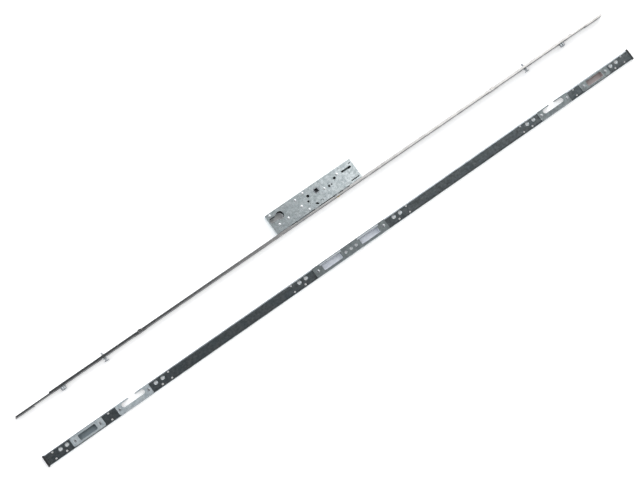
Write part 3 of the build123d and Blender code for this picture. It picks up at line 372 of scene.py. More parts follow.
class Workshop:
    """Keeps the CAD nodes and the built materials, and turns meshes into pieces."""

    # Corners that turn by more than these angles are shaded as sharp, and are rounded.
    sharp_deg = 38.0
    rounded_deg = 50.0
    rounding_steps = 2
    # Points of the CAD mesh nearer than this are one, and faces within this angle are one.
    merge_mm = 0.002
    flat_deg = 0.5

    def __init__(self, nodes: dict[str, bpy.types.Object]) -> None:
        """Remember the CAD nodes and build every material once.

        Args:
            nodes: CAD nodes by name.
        """
        self.nodes = nodes
        self.materials = {finish: finish.value.build() for finish in Finishes}

    def paint(self, finish: Finishes, *names: str) -> None:
        """Give CAD nodes a finish.

        Args:
            finish: Finish to give.
            *names: Names of the nodes.
        """
        for name in names:
            for holder in self.nodes[name].material_slots:
                holder.link = "OBJECT"
                holder.material = self.materials[finish]
            log.info("painted %s with %s", name, finish.value.title)

    def piece(
        self, name: str, shape: Shape, finish: Finishes, body: str, node: str,
        edge_mm: float = 0.0, accents: tuple[Finishes, ...] = (),
    ) -> bpy.types.Object:
        """Turn a shape into a piece that stands for a CAD node and rides on a body.

        Args:
            name: Name of the piece.
            shape: Mesh in the lock's frame, which is used up.
            finish: Finish of the piece.
            body: Body that it moves with.
            node: CAD node that it replaces.
            edge_mm: Width of the rounding on its sharp edges, or 0 for none.
            accents: Finishes of the faces that have material number 1, 2 and so on.

        Returns:
            The new object.
        """
        mesh = bpy.data.meshes.new(name)
        shape.to_mesh(mesh)
        shape.free()
        mesh.shade_smooth()
        mesh.set_sharp_from_angle(angle=math.radians(self.sharp_deg))
        for worn in (finish, *accents):
            mesh.materials.append(self.materials[worn])
        obj = bpy.data.objects.new(name, mesh)
        bpy.context.scene.collection.objects.link(obj)
        if edge_mm:
            rounding = obj.modifiers.new("rounded edges", "BEVEL")
            rounding.width = edge_mm * MM
            rounding.segments = self.rounding_steps
            rounding.limit_method = "ANGLE"
            rounding.angle_limit = math.radians(self.rounded_deg)
            shading = obj.modifiers.new("flat faces stay flat", "WEIGHTED_NORMAL")
            shading.keep_sharp = True
        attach(obj, body)
        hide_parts(node)
        log.info("made %s, %d faces", name, len(mesh.polygons))
        return obj

    def soften(
        self, node: str, finish: Finishes, body: str, edge_mm: float,
        accents: tuple[Finishes, ...] = (), picks: Callable[[Vector], int] | None = None,
        highlighted_edges: bool = False,
    ) -> None:
        """Replace a CAD node by a copy with rounded edges, as pressing and plating leave them.

        Args:
            node: Name of the CAD node.
            finish: Finish of the copy.
            body: Body that it moves with.
            edge_mm: Width of the rounding.
            accents: Finishes of the faces that are picked as 1, 2 and so on.
            picks: Says from a face's normal which finish the face gets.
            highlighted_edges: Whether the rounded edges get the first accent too.
        """
        shape = bmesh.new()
        shape.from_mesh(self.nodes[node].data)
        bmesh.ops.remove_doubles(shape, verts=shape.verts, dist=self.merge_mm * MM)
        bmesh.ops.dissolve_limit(
            shape, angle_limit=math.radians(self.flat_deg), verts=shape.verts, edges=shape.edges
        )
        if picks:
            shape.normal_update()
            for face in shape.faces:
                face.material_index = picks(face.normal)
        obj = self.piece(f"{node}_finished", shape, finish, body, node, edge_mm, accents)
        # The rounded edges then take the first accent, which paints a highlight on them.
        if highlighted_edges:
            obj.modifiers["rounded edges"].material = 1


def front_or_rest(normal: Vector) -> int:
    """Pick 1 for a face that looks out of the front of the lock, which gets painted shade."""
    return int(normal.y < -FRONT)


def slanted_or_rest(normal: Vector) -> int:
    """Pick 1 for a face that slants upwards, as in a countersink."""
    return int(SLANT < normal.z < LEVEL)


def painted_highlight_of_strip(normal: Vector) -> int:
    """Pick the painted highlight of a face of the channel.

    Args:
        normal: Normal of the face.

    Returns:
        1 for the bend on the lock's side and 2 for flanges and countersinks, both painted highlights, and 0
        for the rest.
    """
    slanted = slanted_or_rest(normal)
    is_flange = abs(normal.y) > FLANGE
    in_countersink = slanted and abs(normal.x) > END_OF_CONE
    if is_flange or in_countersink:
        return 2
    return int(slanted and normal.y > SLANT)


def turned(profile: list[Point], steps: int = 40) -> Shape:
    """Spin a profile about the local Z axis.

    Args:
        profile: Radius and height of each point; a solid starts and ends on the axis, and a ring
            ends where it starts.
        steps: Divisions of the full turn.

    Returns:
        The turned shape, closed, with its faces pointing outwards.
    """
    shape = bmesh.new()
    verts = [shape.verts.new((radius * MM, 0, height * MM)) for radius, height in profile]
    edges = [shape.edges.new(pair) for pair in zip(verts, verts[1:])]
    bmesh.ops.spin(
        shape, geom=verts + edges, cent=(0, 0, 0), axis=UP, dvec=(0, 0, 0),
        angle=math.tau, steps=steps, use_merge=True,
    )
    bmesh.ops.remove_doubles(shape, verts=shape.verts, dist=WELD_MM * MM)
    bmesh.ops.recalc_face_normals(shape, faces=shape.faces)
    # A rim that is drawn slightly back on itself can leave them all pointing inwards.
    if shape.calc_volume(signed=True) < 0:
        bmesh.ops.reverse_faces(shape, faces=shape.faces)
    return shape


def coil(
    wire_r: float, radius: float, height: float, turns: int, turn_steps: int = 24, wire_sides: int = 10
) -> Shape:
    """Wind a wire about the local Z axis.

    Args:
        wire_r: Radius of the wire.
        radius: Radius of the coil to the middle of the wire.
        height: Height between the middles of the wire's ends.
        turns: Number of turns.
        turn_steps: Divisions of one turn.
        wire_sides: Sides of the wire's round section.

    Returns:
        The coil, closed at both ends, starting at height 0.
    """
    steps = turn_steps * turns
    shape = bmesh.new()
    bmesh.ops.create_circle(shape, segments=wire_sides, radius=wire_r * MM)
    upright = Matrix.Translation((radius * MM, 0, 0)) @ Matrix.Rotation(math.radians(90), 4, "X")
    bmesh.ops.transform(shape, matrix=upright, verts=shape.verts)
    bmesh.ops.spin(
        shape, geom=shape.verts[:] + shape.edges[:], cent=(0, 0, 0), axis=UP,
        dvec=(0, 0, height * MM / steps), angle=math.tau * turns, steps=steps,
    )
    bmesh.ops.holes_fill(shape, edges=[edge for edge in shape.edges if edge.is_boundary], sides=0)
    bmesh.ops.recalc_face_normals(shape, faces=shape.faces)
    return shape


def arc(centre: Point, radius: float, start: float, end: float, count: int) -> list[Point]:
    """Points on an arc of a profile.

    Args:
        centre: Radius and height of the arc's centre.
        radius: Radius of the arc.
        start: First angle in degrees, from the radial direction towards the height.
        end: Last angle in degrees.
        count: Number of points.

    Returns:
        The points, first and last included.
    """
    points = []
    for index in range(count):
        angle = math.radians(start + (end - start) * index / (count - 1))
        points.append((centre[0] + radius * math.cos(angle), centre[1] + radius * math.sin(angle)))
    return points


def disc(radius: float, low: float, high: float, chamfer: float) -> list[Point]:
    """Points round the rim of a disc with both edges chamfered.

    Args:
        radius: Radius of the disc.
        low: Height at which it starts.
        high: Height at which it ends.
        chamfer: Width of the chamfers.

    Returns:
        Four points of a profile.
    """
    inner = radius - chamfer
    return [(inner, low), (radius, low + chamfer), (radius, high - chamfer), (inner, high)]


def set_down(shape: Shape, place: Place, axis: Place = UP) -> Shape:
    """Turn a shape's local Z to an axis and move it to its place.

    Args:
        shape: Shape to move.
        place: Place of its origin.
        axis: Direction for its local Z.

    Returns:
        The same shape.
    """
    turn = Vector(UP).rotation_difference(Vector(axis)).to_matrix().to_4x4()
    move = Matrix.Translation(Vector(place) * MM)
    bmesh.ops.transform(shape, matrix=move @ turn, verts=shape.verts)
    return shape


def joined(shapes: list[Shape]) -> Shape:
    """Put several shapes into one, and free them.

    Args:
        shapes: Shapes to join.

    Returns:
        One shape with all their faces.
    """
    whole = bmesh.new()
    for shape in shapes:
        mesh = bpy.data.meshes.new("joining")
        shape.to_mesh(mesh)
        shape.free()
        whole.from_mesh(mesh)
        bpy.data.meshes.remove(mesh)
    return whole


def cut(shape: Shape, cutter: Shape) -> Shape:
    """Take one shape out of another.

    Args:
        shape: Shape to cut, which is used up.
        cutter: Shape to take away, which is used up.

    Returns:
        What is left.
    """
    objects = []
    for part in (shape, cutter):
        mesh = bpy.data.meshes.new("cutting")
        part.to_mesh(mesh)
        part.free()
        obj = bpy.data.objects.new("cutting", mesh)
        bpy.context.scene.collection.objects.link(obj)
        objects.append(obj)
    work, tool = objects
    boolean = work.modifiers.new("cut", "BOOLEAN")
    boolean.operation = "DIFFERENCE"
    boolean.solver = "EXACT"
    # The arms of a cross recess run through each other.
    boolean.use_self = True
    boolean.object = tool
    bpy.context.view_layer.update()
    result = work.evaluated_get(bpy.context.evaluated_depsgraph_get())
    left = bmesh.new()
    left.from_mesh(result.to_mesh())
    result.to_mesh_clear()
    for obj in objects:
        mesh = obj.data
        bpy.data.objects.remove(obj)
        bpy.data.meshes.remove(mesh)
    return left


def cross_recess(width: float, arm: float, depth: float, taper: float = 0.55) -> Shape:
    """Cutter for the cross recess of a screw, pointing down from the local origin.

    Args:
        width: Width across the cross.
        arm: Width of one arm.
        depth: Depth of the recess.
        taper: Share of its width that the recess keeps at the bottom.

    Returns:
        Two crossed wedges.
    """
    arms = []
    for size in ((width, arm), (arm, width)):
        wedge = bmesh.new()
        bmesh.ops.create_cube(wedge, size=1.0)
        bmesh.ops.scale(wedge, vec=(size[0] * MM, size[1] * MM, 2 * depth * MM), verts=wedge.verts)
        low = [vert for vert in wedge.verts if vert.co.z < 0]
        bmesh.ops.scale(wedge, vec=(taper, taper, 1.0), verts=low)
        arms.append(wedge)
    return joined(arms)


@dataclass(frozen=True)
class Screw:
    """Countersunk screw with a cross recess."""

    shank_r: float
    head_r: float
    length: float
    recess_share: float = 0.62
    arm_share: float = 0.24
    depth_share: float = 0.75
    rim: float = 0.25
    thread_pitch: float = 0.7
    thread_depth: float = 0.22
    steps: int = 28

    def shape(self) -> Shape:
        """Build the screw with its head's top at the origin and its shank pointing down.

        Returns:
            The screw's shape.
        """
        cone = self.head_r - self.shank_r
        root_r = self.shank_r - self.thread_depth
        profile = [(0, -self.length), (root_r, -self.length)]
        height = -self.length + self.thread_pitch / 2
        while height < -cone - 2 * self.thread_pitch:
            profile += [(self.shank_r, height), (root_r, height + self.thread_pitch / 2)]
            height += self.thread_pitch
        profile += [
            (self.shank_r, -cone - self.thread_pitch),
            (self.shank_r, -cone),
            (self.head_r, -self.rim),
            (self.head_r, -self.rim / 3),
            (self.head_r - self.rim / 2, 0),
            (0, 0),
        ]
        width = 2 * self.head_r * self.recess_share
        recess = cross_recess(width, width * self.arm_share, cone * self.depth_share)
        return cut(turned(profile, self.steps), recess)


@dataclass(frozen=True)
class Rivet:
    """Rivet with a low dome at each end, set with a cup tool."""

    shank_r: float
    head_r: float
    head: float
    rim: float = 0.12
    dome_points: int = 7
    steps: int = 32

    def shape(self, length: float, collar: tuple[float, float, float] | None = None) -> Shape:
        """Build the rivet along local Z, with its lower head at the origin.

        Args:
            length: Whole length between the tops of the heads.
            collar: Radius, start and end of a spacer on the shank, if it has one.

        Returns:
            The rivet's shape.
        """
        rise = self.head - self.rim
        dome_r = (self.head_r ** 2 + rise ** 2) / (2 * rise)
        spread = math.degrees(math.asin(self.head_r / dome_r))
        top = [
            (self.shank_r, length - self.head),
            (self.head_r, length - self.head),
            *arc((0, length - dome_r), dome_r, 90 - spread, 90, self.dome_points),
        ]
        bottom = [(radius, length - height) for radius, height in reversed(top)]
        middle = []
        if collar:
            radius, start, end = collar
            middle = [(self.shank_r, start), (radius, start), (radius, end), (self.shank_r, end)]
        return turned(bottom + middle + top, self.steps)


@dataclass
class Assembly:
    """A group of pieces, made in a workshop."""

    shop: Workshop


@dataclass
class Faceplate(Assembly):
    """Long bar of the lock with its doubling plates, their rivets and the rail guides."""

    edge: float = 0.25
    plate_thick: float = 1.2
    bar_thick: float = 2.5
    rivet: Rivet = Rivet(shank_r=1.6, head_r=2.6, head=0.5)
    rivet_pitch: float = 28.0
    end_plate_mid: float = 720.5

    def build(self) -> None:
        """Make the bar, the doubling plates, the guides and the rivets."""
        for node in ("faceplate", "end_plate_upper", "end_plate_lower", "rail_guides"):
            # Faces that look out of the front get the darker finish, which is painted shade.
            self.shop.soften(
                node, Finishes.FACEPLATE_ZINC, ROOT, self.edge, (Finishes.SHADED_FRONT_ZINC,), front_or_rest
            )
        length = self.plate_thick + self.bar_thick + 2 * self.rivet.head
        rivets = []
        for side in Side:
            for shift in (-self.rivet_pitch / 2, self.rivet_pitch / 2):
                x = side.value * self.end_plate_mid + shift
                front = (x, -self.plate_thick - self.rivet.head, LOCK_MID_Z)
                rivets.append(set_down(self.rivet.shape(length), front, INTO_LOCK))
        heads = joined(rivets)
        self.shop.piece("end_plate_rivet_heads", heads, Finishes.STUD_STEEL, ROOT, "end_plate_rivets")


@dataclass
class Gearbox(Assembly):
    """Case with its cover, rivets, screws, blocks, slides and follower."""

    edge: float = 0.3
    fine_edge: float = 0.15
    sheet: float = 1.5
    low_z: float = 0.5
    high_z: float = 15.5
    rivet: Rivet = Rivet(shank_r=1.7, head_r=2.8, head=0.5)
    spacer_r: float = 2.2
    rivet_places: tuple[Point, ...] = (
        (-98.5, 46.0), (-91.4, 19.9), (-69.0, 20.3), (-36.6, 42.5), (-32.4, 24.7),
        (-23.3, 10.5), (-15.6, 46.2), (27.8, 28.8), (66.8, 38.3),
    )
    screw: Screw = Screw(shank_r=2.0, head_r=3.8, length=8.0)
    screw_x: tuple[float, ...] = (-8.0, 63.0)

    def build(self) -> None:
        """Make the case, its fasteners and what moves in it."""
        for node in ("case_cover", "case_body"):
            self.shop.soften(node, Finishes.CASE_ZINC, ROOT, self.edge)
        length = self.high_z - self.low_z + 2 * self.rivet.head
        collar = (self.spacer_r, self.rivet.head + self.sheet, length - self.rivet.head - self.sheet)
        rivets = []
        for x, y in self.rivet_places:
            foot = (x, y, self.low_z - self.rivet.head)
            rivets.append(set_down(self.rivet.shape(length, collar), foot))
        self.shop.piece("case_rivet_heads", joined(rivets), Finishes.RIVET_STEEL, ROOT, "case_rivets")
        screws = [set_down(self.screw.shape(), (x, 0, LOCK_MID_Z), OUT_OF_FRONT) for x in self.screw_x]
        self.shop.piece("case_screw_heads", joined(screws), Finishes.STUD_STEEL, ROOT, "case_screws")
        self.shop.soften("fixing_blocks", Finishes.STUD_STEEL, ROOT, self.fine_edge)
        self.shop.soften("follower", Finishes.FOLLOWER_CASTING, "follower", self.fine_edge)
        for side in Side:
            self.shop.soften(f"{side.word}_slide", Finishes.RAIL_ZINC, f"{side.word}_drive", self.fine_edge)


@dataclass
class Stud(Assembly):
    """What both kinds of stud share: their end of the lock, and how they sit on the rail."""

    side: Side
    x: float
    shank_r: float = 3.0
    rail_back: float = 5.2
    seat: float = 0.3
    play: float = 0.1
    chamfer: float = 0.3

    def put(self, shape: Shape, axis: Place = OUT_OF_FRONT, shift: float = 0.0) -> Shape:
        """Set a shape down where the stud stands.

        Args:
            shape: Shape to move.
            axis: Direction for its local Z.
            shift: Distance along the lock from the stud's axis.

        Returns:
            The same shape.
        """
        return set_down(shape, (self.side.value * self.x + shift, 0, LOCK_MID_Z), axis)


@dataclass
class PinStud(Stud):
    """Rail of one end with the axle riveted to it, and the roller that turns on the axle."""

    x: float = 633.0
    rail_edge: float = 0.2
    tip: float = 8.6
    washer: float = 0.8
    washer_r: float = 6.6
    washer_edge: float = 0.2
    head: float = 0.7
    head_r: float = 4.6
    head_rim: float = 0.25
    head_slope: float = 0.5
    dimple_r: float = 1.3
    dimple_low_r: float = 0.9
    dimple: float = 0.35
    roller_r: float = 6.0
    roller_bore: float = 3.05
    roller_edge: float = 0.5

    def build(self) -> None:
        """Make the rail, the axle and the roller."""
        word = self.side.word
        drive = f"{word}_drive"
        self.shop.soften(f"{word}_rail", Finishes.RAIL_ZINC, drive, self.rail_edge)
        back = -self.rail_back
        washer_top = self.seat + self.washer
        under_head = self.tip - self.head
        axle = [
            (0, back), (self.shank_r - self.chamfer, back), (self.shank_r, back + self.chamfer),
            (self.shank_r, self.seat), *disc(self.washer_r, self.seat, washer_top, self.washer_edge),
            (self.shank_r, washer_top), (self.shank_r, under_head), (self.head_r, under_head),
            (self.head_r, under_head + self.head_rim), (self.head_r - self.head_slope, self.tip),
            (self.dimple_r, self.tip), (self.dimple_low_r, self.tip - self.dimple),
            (0, self.tip - self.dimple),
        ]
        pin = self.put(turned(axle))
        self.shop.piece(f"pin_axle_{word}", pin, Finishes.STUD_STEEL, drive, f"pin_stud_{word}")
        low = washer_top + self.play
        high = under_head - self.play
        rim = disc(self.roller_r, low, high, self.roller_edge)
        roller = [(self.roller_bore, low), *rim, (self.roller_bore, high), (self.roller_bore, low)]
        sleeve = self.put(turned(roller))
        body = f"pin_roller_{word}"
        self.shop.piece(f"pin_sleeve_{word}", sleeve, Finishes.STUD_STEEL, body, body)


@dataclass
class MushroomStud(Stud):
    """Eccentric stud with a flared foot, and the cap that holds it behind the rail."""

    x: float = 534.0
    tip: float = 9.2
    foot_r: float = 7.2
    foot: float = 3.2
    foot_top_r: float = 3.8
    flare_degrees: tuple[float, float] = (265.0, 180.0)
    flare_points: int = 7
    stem_r: float = 2.6
    stem_flare: float = 0.4
    head: float = 2.0
    head_r: float = 5.3
    head_edge: float = 0.2
    crown_r: float = 0.7
    crown_points: int = 4
    eccentric: float = 0.8
    socket: float = 2.5
    cap_end: float = 11.2
    cap: float = 2.2
    cap_r: float = 2.7
    cap_round: float = 0.8
    cap_points: int = 5
    neck_r: float = 1.8
    collar_r: float = 4.0
    collar: float = 1.2

    def build(self) -> None:
        """Make the stud and its cap."""
        word = self.side.word
        body = f"mushroom_{word}"
        for name, shape in (("stud", self.stud()), ("cap", self.end_cap())):
            self.shop.piece(f"{body}_{name}", shape, Finishes.STUD_STEEL, body, f"mushroom_{name}_{word}")

    def stud(self) -> Shape:
        """Turn the shank with the flared foot, and the eccentric stem with its hexagon socket.

        Returns:
            The stud in its place.
        """
        back = -self.rail_back - self.play
        top = self.seat + self.foot
        flare_r = self.foot_r - self.foot_top_r
        flare = arc((self.foot_r, top), flare_r, *self.flare_degrees, self.flare_points)
        foot = [
            (0, back), (self.shank_r, back), (self.shank_r, self.seat), (self.foot_r, self.seat),
            *flare, (0, top),
        ]
        low = self.tip - self.head
        corner = (self.head_r - self.crown_r, self.tip - self.crown_r)
        stem = [
            (0, top), (self.stem_r, top), (self.stem_r, low - self.chamfer),
            (self.stem_r + self.stem_flare, low), (self.head_r - self.head_edge, low),
            (self.head_r, low + self.chamfer),
            *arc(corner, self.crown_r, 0, 90, self.crown_points), (0, self.tip),
        ]
        corner_r = self.socket * MM / math.sqrt(3)
        socket = bmesh.new()
        bmesh.ops.create_cone(
            socket, cap_ends=True, segments=6, radius1=corner_r, radius2=corner_r, depth=2 * self.head * MM
        )
        bmesh.ops.translate(socket, vec=(0, 0, self.tip * MM), verts=socket.verts)
        return joined([self.put(turned(foot)), self.put(cut(turned(stem), socket), shift=self.eccentric)])

    def end_cap(self) -> Shape:
        """Turn the collar, neck and cap behind the rail, measured backwards.

        Returns:
            The cap in its place.
        """
        start = self.rail_back + self.play
        neck_start = start + self.collar
        neck_end = self.cap_end - self.cap
        corner = (self.cap_r - self.cap_round, self.cap_end - self.cap_round)
        profile = [
            (0, start), (self.collar_r - self.chamfer, start), (self.collar_r, start + self.chamfer),
            (self.collar_r, neck_start), (self.neck_r, neck_start), (self.neck_r, neck_end),
            (self.cap_r, neck_end), *arc(corner, self.cap_round, 0, 90, self.cap_points),
            (0, self.cap_end),
        ]
        return self.put(turned(profile), INTO_LOCK)


@dataclass
class BoltWork(Assembly):
    """Deadbolt with its leaf spring, and the roller catch with its spring."""

    edge: float = 0.35
    catch_x: float = 44.0
    catch_travel: float = 6.0
    roller_y: float = 4.2
    roller_r: float = 6.0
    roller_bore: float = 1.8
    roller_low: float = 5.6
    roller_high: float = 11.2
    roller_crown: float = 0.25
    roller_rim: float = 0.6
    roller_side: float = 0.8
    roller_steps: int = 48
    spring_front: float = 14.0
    spring_seat: float = 31.0
    spring_r: float = 3.3
    spring_turns: int = 6
    wire_r: float = 0.45

    def build(self) -> None:
        """Make bolt, springs and catch."""
        self.shop.soften("deadbolt", Finishes.FOLLOWER_CASTING, "deadbolt", self.edge)
        self.shop.soften("catch_fork", Finishes.FOLLOWER_CASTING, "catch", self.edge / 2)
        self.shop.paint(Finishes.SPRING_STEEL, "deadbolt_spring", "catch_clip")
        self.shop.paint(Finishes.STUD_STEEL, "catch_stem", "catch_seat")
        self.shop.paint(Finishes.RIVET_STEEL, "catch_axle")
        self.build_catch_spring()
        self.build_roller()

    def build_roller(self) -> None:
        """Make the brass roller of the catch, slightly crowned."""
        low, high, radius = self.roller_low, self.roller_high, self.roller_r
        profile = [
            (self.roller_bore, low), (radius - self.roller_side, low),
            (radius - self.roller_crown, low + self.roller_rim), (radius, (low + high) / 2),
            (radius - self.roller_crown, high - self.roller_rim), (radius - self.roller_side, high),
            (self.roller_bore, high), (self.roller_bore, low),
        ]
        roller = set_down(turned(profile, self.roller_steps), (self.catch_x, self.roller_y, 0))
        self.shop.piece("catch_roller_brass", roller, Finishes.ROLLER_BRASS, "catch_roller", "catch_roller")

    def build_catch_spring(self) -> None:
        """Make the coil behind the catch, with a mesh of its own."""
        start = self.spring_front + self.wire_r
        height = self.spring_seat - self.wire_r - start
        middle_z = (self.roller_low + self.roller_high) / 2
        wound = coil(self.wire_r, self.spring_r, height, self.spring_turns)
        set_down(wound, (self.catch_x, start, middle_z), INTO_LOCK)
        spring = self.shop.piece("catch_spring_coil", wound, Finishes.SPRING_STEEL, ROOT, "catch_spring")
        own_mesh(spring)


@dataclass
class KeepStrip(Assembly):
    """Channel with its keeps, boxes, ramps, screws and end caps."""

    y: float = -103.0
    edge: float = 0.3
    box_edge: float = 0.15
    keep_edge: float = 0.35
    keep_rim: float = 0.7
    keep_top: float = 9.6
    screw: Screw = Screw(shank_r=1.7, head_r=3.3, length=4.5)
    slot_keep_x: float = 644.0
    slot_keep_screw: float = 29.5
    roller_keep_x: float = 534.0
    roller_keep_screw: float = 34.5
    centre_screw: float = 83.0

    def screw_places(self) -> list[float]:
        """Work out where the keep screws stand along the strip.

        Returns:
            Places along X.
        """
        keeps = ((self.slot_keep_x, self.slot_keep_screw), (self.roller_keep_x, self.roller_keep_screw))
        places = []
        for side in Side:
            for middle, shift in keeps:
                places += [side.value * middle - shift, side.value * middle + shift]
            places.append(side.value * self.centre_screw)
        return places

    def build(self) -> None:
        """Make the channel and all that it carries."""
        # The bend on the lock's side, the flanges and the countersinks of the channel get painted
        # highlights.
        strip_highlights = (Finishes.BEND_HIGHLIGHT_AND_RAMP_ZINC, Finishes.HIGHLIGHT_ZINC)
        self.shop.soften("strip_channel", Finishes.STRIP_ZINC, ROOT, self.edge, strip_highlights, painted_highlight_of_strip)
        self.shop.soften("strip_end_caps", Finishes.CAP_PLASTIC, ROOT, self.keep_edge)
        keeps = {"centre_keep": Finishes.KEEP_ZINC}
        boxes = {"latch_box": Finishes.BOX_PLASTIC, "bolt_box": Finishes.BOX_PLASTIC}
        for side in Side:
            # The lower keeps are painted paler, as lit; the upper keeps keep the plain plating.
            plated = Finishes.LIT_KEEP_ZINC if side is Side.LOWER else Finishes.KEEP_ZINC
            keeps[f"slot_keep_{side.word}"] = plated
            keeps[f"roller_keep_{side.word}"] = plated
            cast = Finishes.COOL_BOX_PLASTIC if side is Side.LOWER else Finishes.WARM_BOX_PLASTIC
            boxes[f"slot_box_{side.word}"] = cast
        # Countersinks and rounded edges of the keeps get painted highlights.
        for node, finish in keeps.items():
            self.shop.soften(
                node, finish, ROOT, self.keep_rim, (Finishes.HIGHLIGHT_ZINC,), slanted_or_rest,
                highlighted_edges=True,
            )
        for side in Side:
            self.shop.soften(f"ramp_{side.word}", Finishes.BEND_HIGHLIGHT_AND_RAMP_ZINC, ROOT, self.keep_edge)
        for node, finish in boxes.items():
            self.shop.soften(node, finish, ROOT, self.box_edge)
        screws = [set_down(self.screw.shape(), (x, self.y, self.keep_top)) for x in self.screw_places()]
        self.shop.piece("keep_screw_heads", joined(screws), Finishes.STUD_STEEL, ROOT, "keep_screws")


@dataclass(frozen=True)
class Softbox:
    """Area lamp that faces the lock, with its long side along or across the lock."""

    name: str
    towards: Place
    along: float
    across: float
    glow: float
    distance: float = 3.2

    def build(self) -> None:
        """Add the lamp to the scene, as bright to look at as its glow times white."""
        lamp = bpy.data.lights.new(self.name, "AREA")
        lamp.shape = "RECTANGLE"
        lamp.size = self.along
        lamp.size_y = self.across
        lamp.energy = self.glow * math.pi * self.along * self.across
        obj = bpy.data.objects.new(self.name, lamp)
        bpy.context.scene.collection.objects.link(obj)
        away = Vector(self.towards).normalized()
        turn = Vector(UP).rotation_difference(away).to_matrix().to_4x4()
        obj.matrix_world = Matrix.Translation(away * self.distance) @ turn
        log.info("lamp %s", self.name)


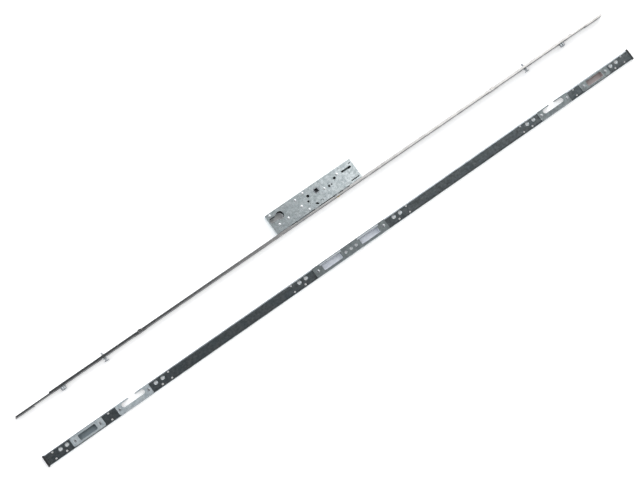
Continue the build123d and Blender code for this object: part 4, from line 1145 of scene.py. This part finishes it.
@dataclass
class Studio:
    """Camera, floor, world and lamps."""

    focal_px: float = 1780.0
    image_width_px: float = 640.0
    sensor_mm: float = 36.0
    tilt_deg: float = 14.69
    heading_deg: float = 60.41
    roll_deg: float = -24.88
    aim_x: float = 24.2
    aim_y: float = -58.0
    distance: float = 3623.1
    floor_size: float = 12.0
    table_colour: str = "#f4f4f4"
    table_glow: float = 0.45
    shade_middle: Point = (0.0, 28.0)
    shade_half: Point = (106.0, 22.0)
    room_light: float = 2.1
    front_light: float = 0.6
    front_to_back: float = 0.3
    room_stops: tuple[tuple[float, str], ...] = (
        (0.0, "#c9cdd1"), (0.30, "#c9cdd1"), (0.36, "#3c3f42"), (0.58, "#3c3f42"), (0.60, "#5c5f61"),
        (0.635, "#f0f1f2"), (0.65, "#ffffff"),
    )
    softboxes: tuple[Softbox, ...] = (
        Softbox("back softbox", towards=(0.36, 0.78, 0.5), along=2.4, across=2.0, glow=1.5),
        Softbox("front softbox", towards=(-0.04, -0.75, 0.66), along=1.4, across=1.8, glow=1.0),
        Softbox("left softbox", towards=(-0.62, 0.1, 0.78), along=1.8, across=2.0, glow=1.4),
    )

    def build_camera(self) -> None:
        """Set the camera at the photograph's viewing angle."""
        tilt = math.radians(self.tilt_deg)
        roll = math.radians(self.roll_deg)
        heading = Matrix.Rotation(-math.radians(self.heading_deg), 3, "Z")
        right = Vector((1, 0, 0))
        up = Vector((0, math.cos(tilt), math.sin(tilt)))
        away = Vector((0, -math.sin(tilt), math.cos(tilt)))
        seen_right = math.cos(roll) * right - math.sin(roll) * up
        seen_up = math.sin(roll) * right + math.cos(roll) * up
        turn = Matrix((heading @ seen_right, heading @ seen_up, heading @ away)).transposed().to_4x4()
        place = heading @ (Vector((self.aim_x, self.aim_y, 0)) + away * self.distance) * MM
        lens = bpy.data.cameras.new("camera")
        lens.sensor_width = self.sensor_mm
        lens.sensor_fit = "HORIZONTAL"
        lens.lens = self.focal_px * self.sensor_mm / self.image_width_px
        camera = bpy.data.objects.new("camera", lens)
        bpy.context.scene.collection.objects.link(camera)
        camera.matrix_world = Matrix.Translation(place) @ turn
        bpy.context.scene.camera = camera
        log.info("camera with a %.1f mm lens", lens.lens)

    def table_material(self) -> bpy.types.Material:
        """Build white lacquer that glows a little to the eye and in reflections.

        Returns:
            The material.
        """
        material = bpy.data.materials.new("white lacquered table")
        material.use_nodes = True
        tree = material.node_tree
        tree.nodes.clear()
        rays = add_node(tree, "LightPath").outputs
        seen = rays["Is Camera Ray"]
        for kind in ("Is Glossy Ray", "Is Transmission Ray"):
            seen = add_node(tree, "Math", {0: seen, 1: rays[kind]}, operation="MAXIMUM").outputs[0]

        # Under the gearbox the table does not glow, so that the gearbox's holes look into shade.
        place = add_node(tree, "TexCoord").outputs["Object"]
        middle = (self.shade_middle[0] * MM, self.shade_middle[1] * MM, 0)
        place = add_node(tree, "VectorMath", {0: place, 1: middle}, operation="SUBTRACT").outputs[0]
        place = add_node(tree, "VectorMath", {0: place}, operation="ABSOLUTE").outputs[0]
        away = add_node(tree, "SeparateXYZ", {"Vector": place}).outputs
        beside, beyond = (
            add_node(tree, "Math", {0: away[axis], 1: half * MM}, operation="GREATER_THAN").outputs[0]
            for axis, half in zip("XY", self.shade_half)
        )
        strength = add_node(tree, "Math", {0: beside, 1: beyond}, operation="MAXIMUM").outputs[0]
        for factor in (seen, self.table_glow):
            strength = add_node(tree, "Math", {0: strength, 1: factor}, operation="MULTIPLY").outputs[0]

        glow = add_node(tree, "Emission", {"Color": linear("#ffffff"), "Strength": strength})
        matt = add_node(tree, "BsdfDiffuse", {"Color": linear(self.table_colour)})
        both = add_node(tree, "AddShader", {0: glow.outputs[0], 1: matt.outputs[0]})
        add_node(tree, "OutputMaterial", {"Surface": both.outputs[0]})
        return material

    def build_floor(self) -> None:
        """Lay the table, which keeps a soft shadow."""
        shape = bmesh.new()
        bmesh.ops.create_grid(shape, x_segments=1, y_segments=1, size=self.floor_size / 2)
        mesh = bpy.data.meshes.new("table")
        shape.to_mesh(mesh)
        shape.free()
        mesh.materials.append(self.table_material())
        floor = bpy.data.objects.new("table", mesh)
        bpy.context.scene.collection.objects.link(floor)
        log.info("floor laid")

    def build_world(self) -> None:
        """Surround the table with a room: bright at both sides and behind, dark overhead and in front."""
        world = bpy.data.worlds.new("studio room")
        bpy.context.scene.world = world
        world.use_nodes = True
        tree = world.node_tree
        tree.nodes.clear()
        look = add_node(tree, "TexCoord").outputs["Generated"]
        parts = add_node(tree, "SeparateXYZ", {"Vector": look}).outputs
        share = add_node(tree, "MapRange", {"Value": parts["X"], "From Min": -1})
        ramp = add_node(tree, "ValToRGB", {"Fac": share.outputs[0]})
        elements = ramp.color_ramp.elements
        for index, (position, colour) in enumerate(self.room_stops):
            element = elements[index] if index < len(elements) else elements.new(position)
            element.position = position
            element.color = linear(colour)
        depth = add_node(
            tree, "MapRange",
            {"Value": parts["Y"], "From Min": -self.front_to_back, "From Max": self.front_to_back,
             "To Min": self.front_light, "To Max": self.room_light},
        )
        room = add_node(tree, "Background", {"Color": ramp.outputs["Color"], "Strength": depth.outputs[0]})
        white = add_node(tree, "Background", {"Color": linear("#ffffff"), "Strength": 1.0})
        seen = add_node(tree, "LightPath").outputs["Is Camera Ray"]
        mixed = add_node(tree, "MixShader", {0: seen, 1: room.outputs[0], 2: white.outputs[0]})
        add_node(tree, "OutputWorld", {"Surface": mixed.outputs[0]})
        log.info("world built")

    def build(self) -> None:
        """Build camera, floor, world and lamps."""
        self.build_camera()
        self.build_floor()
        self.build_world()
        for softbox in self.softboxes:
            softbox.build()
        bpy.context.scene.view_settings.view_transform = "Standard"


def main() -> None:
    """Dress the CAD model."""
    logging.basicConfig(level=logging.INFO)
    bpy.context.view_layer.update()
    shop = Workshop(frame["nodes"])
    assemblies = [kind(shop) for kind in (Faceplate, Gearbox, BoltWork, KeepStrip)]
    assemblies += [kind(shop, side) for side in Side for kind in (PinStud, MushroomStud)]
    for assembly in assemblies:
        assembly.build()
    Studio().build()


if __name__ == "__main__":
    main()
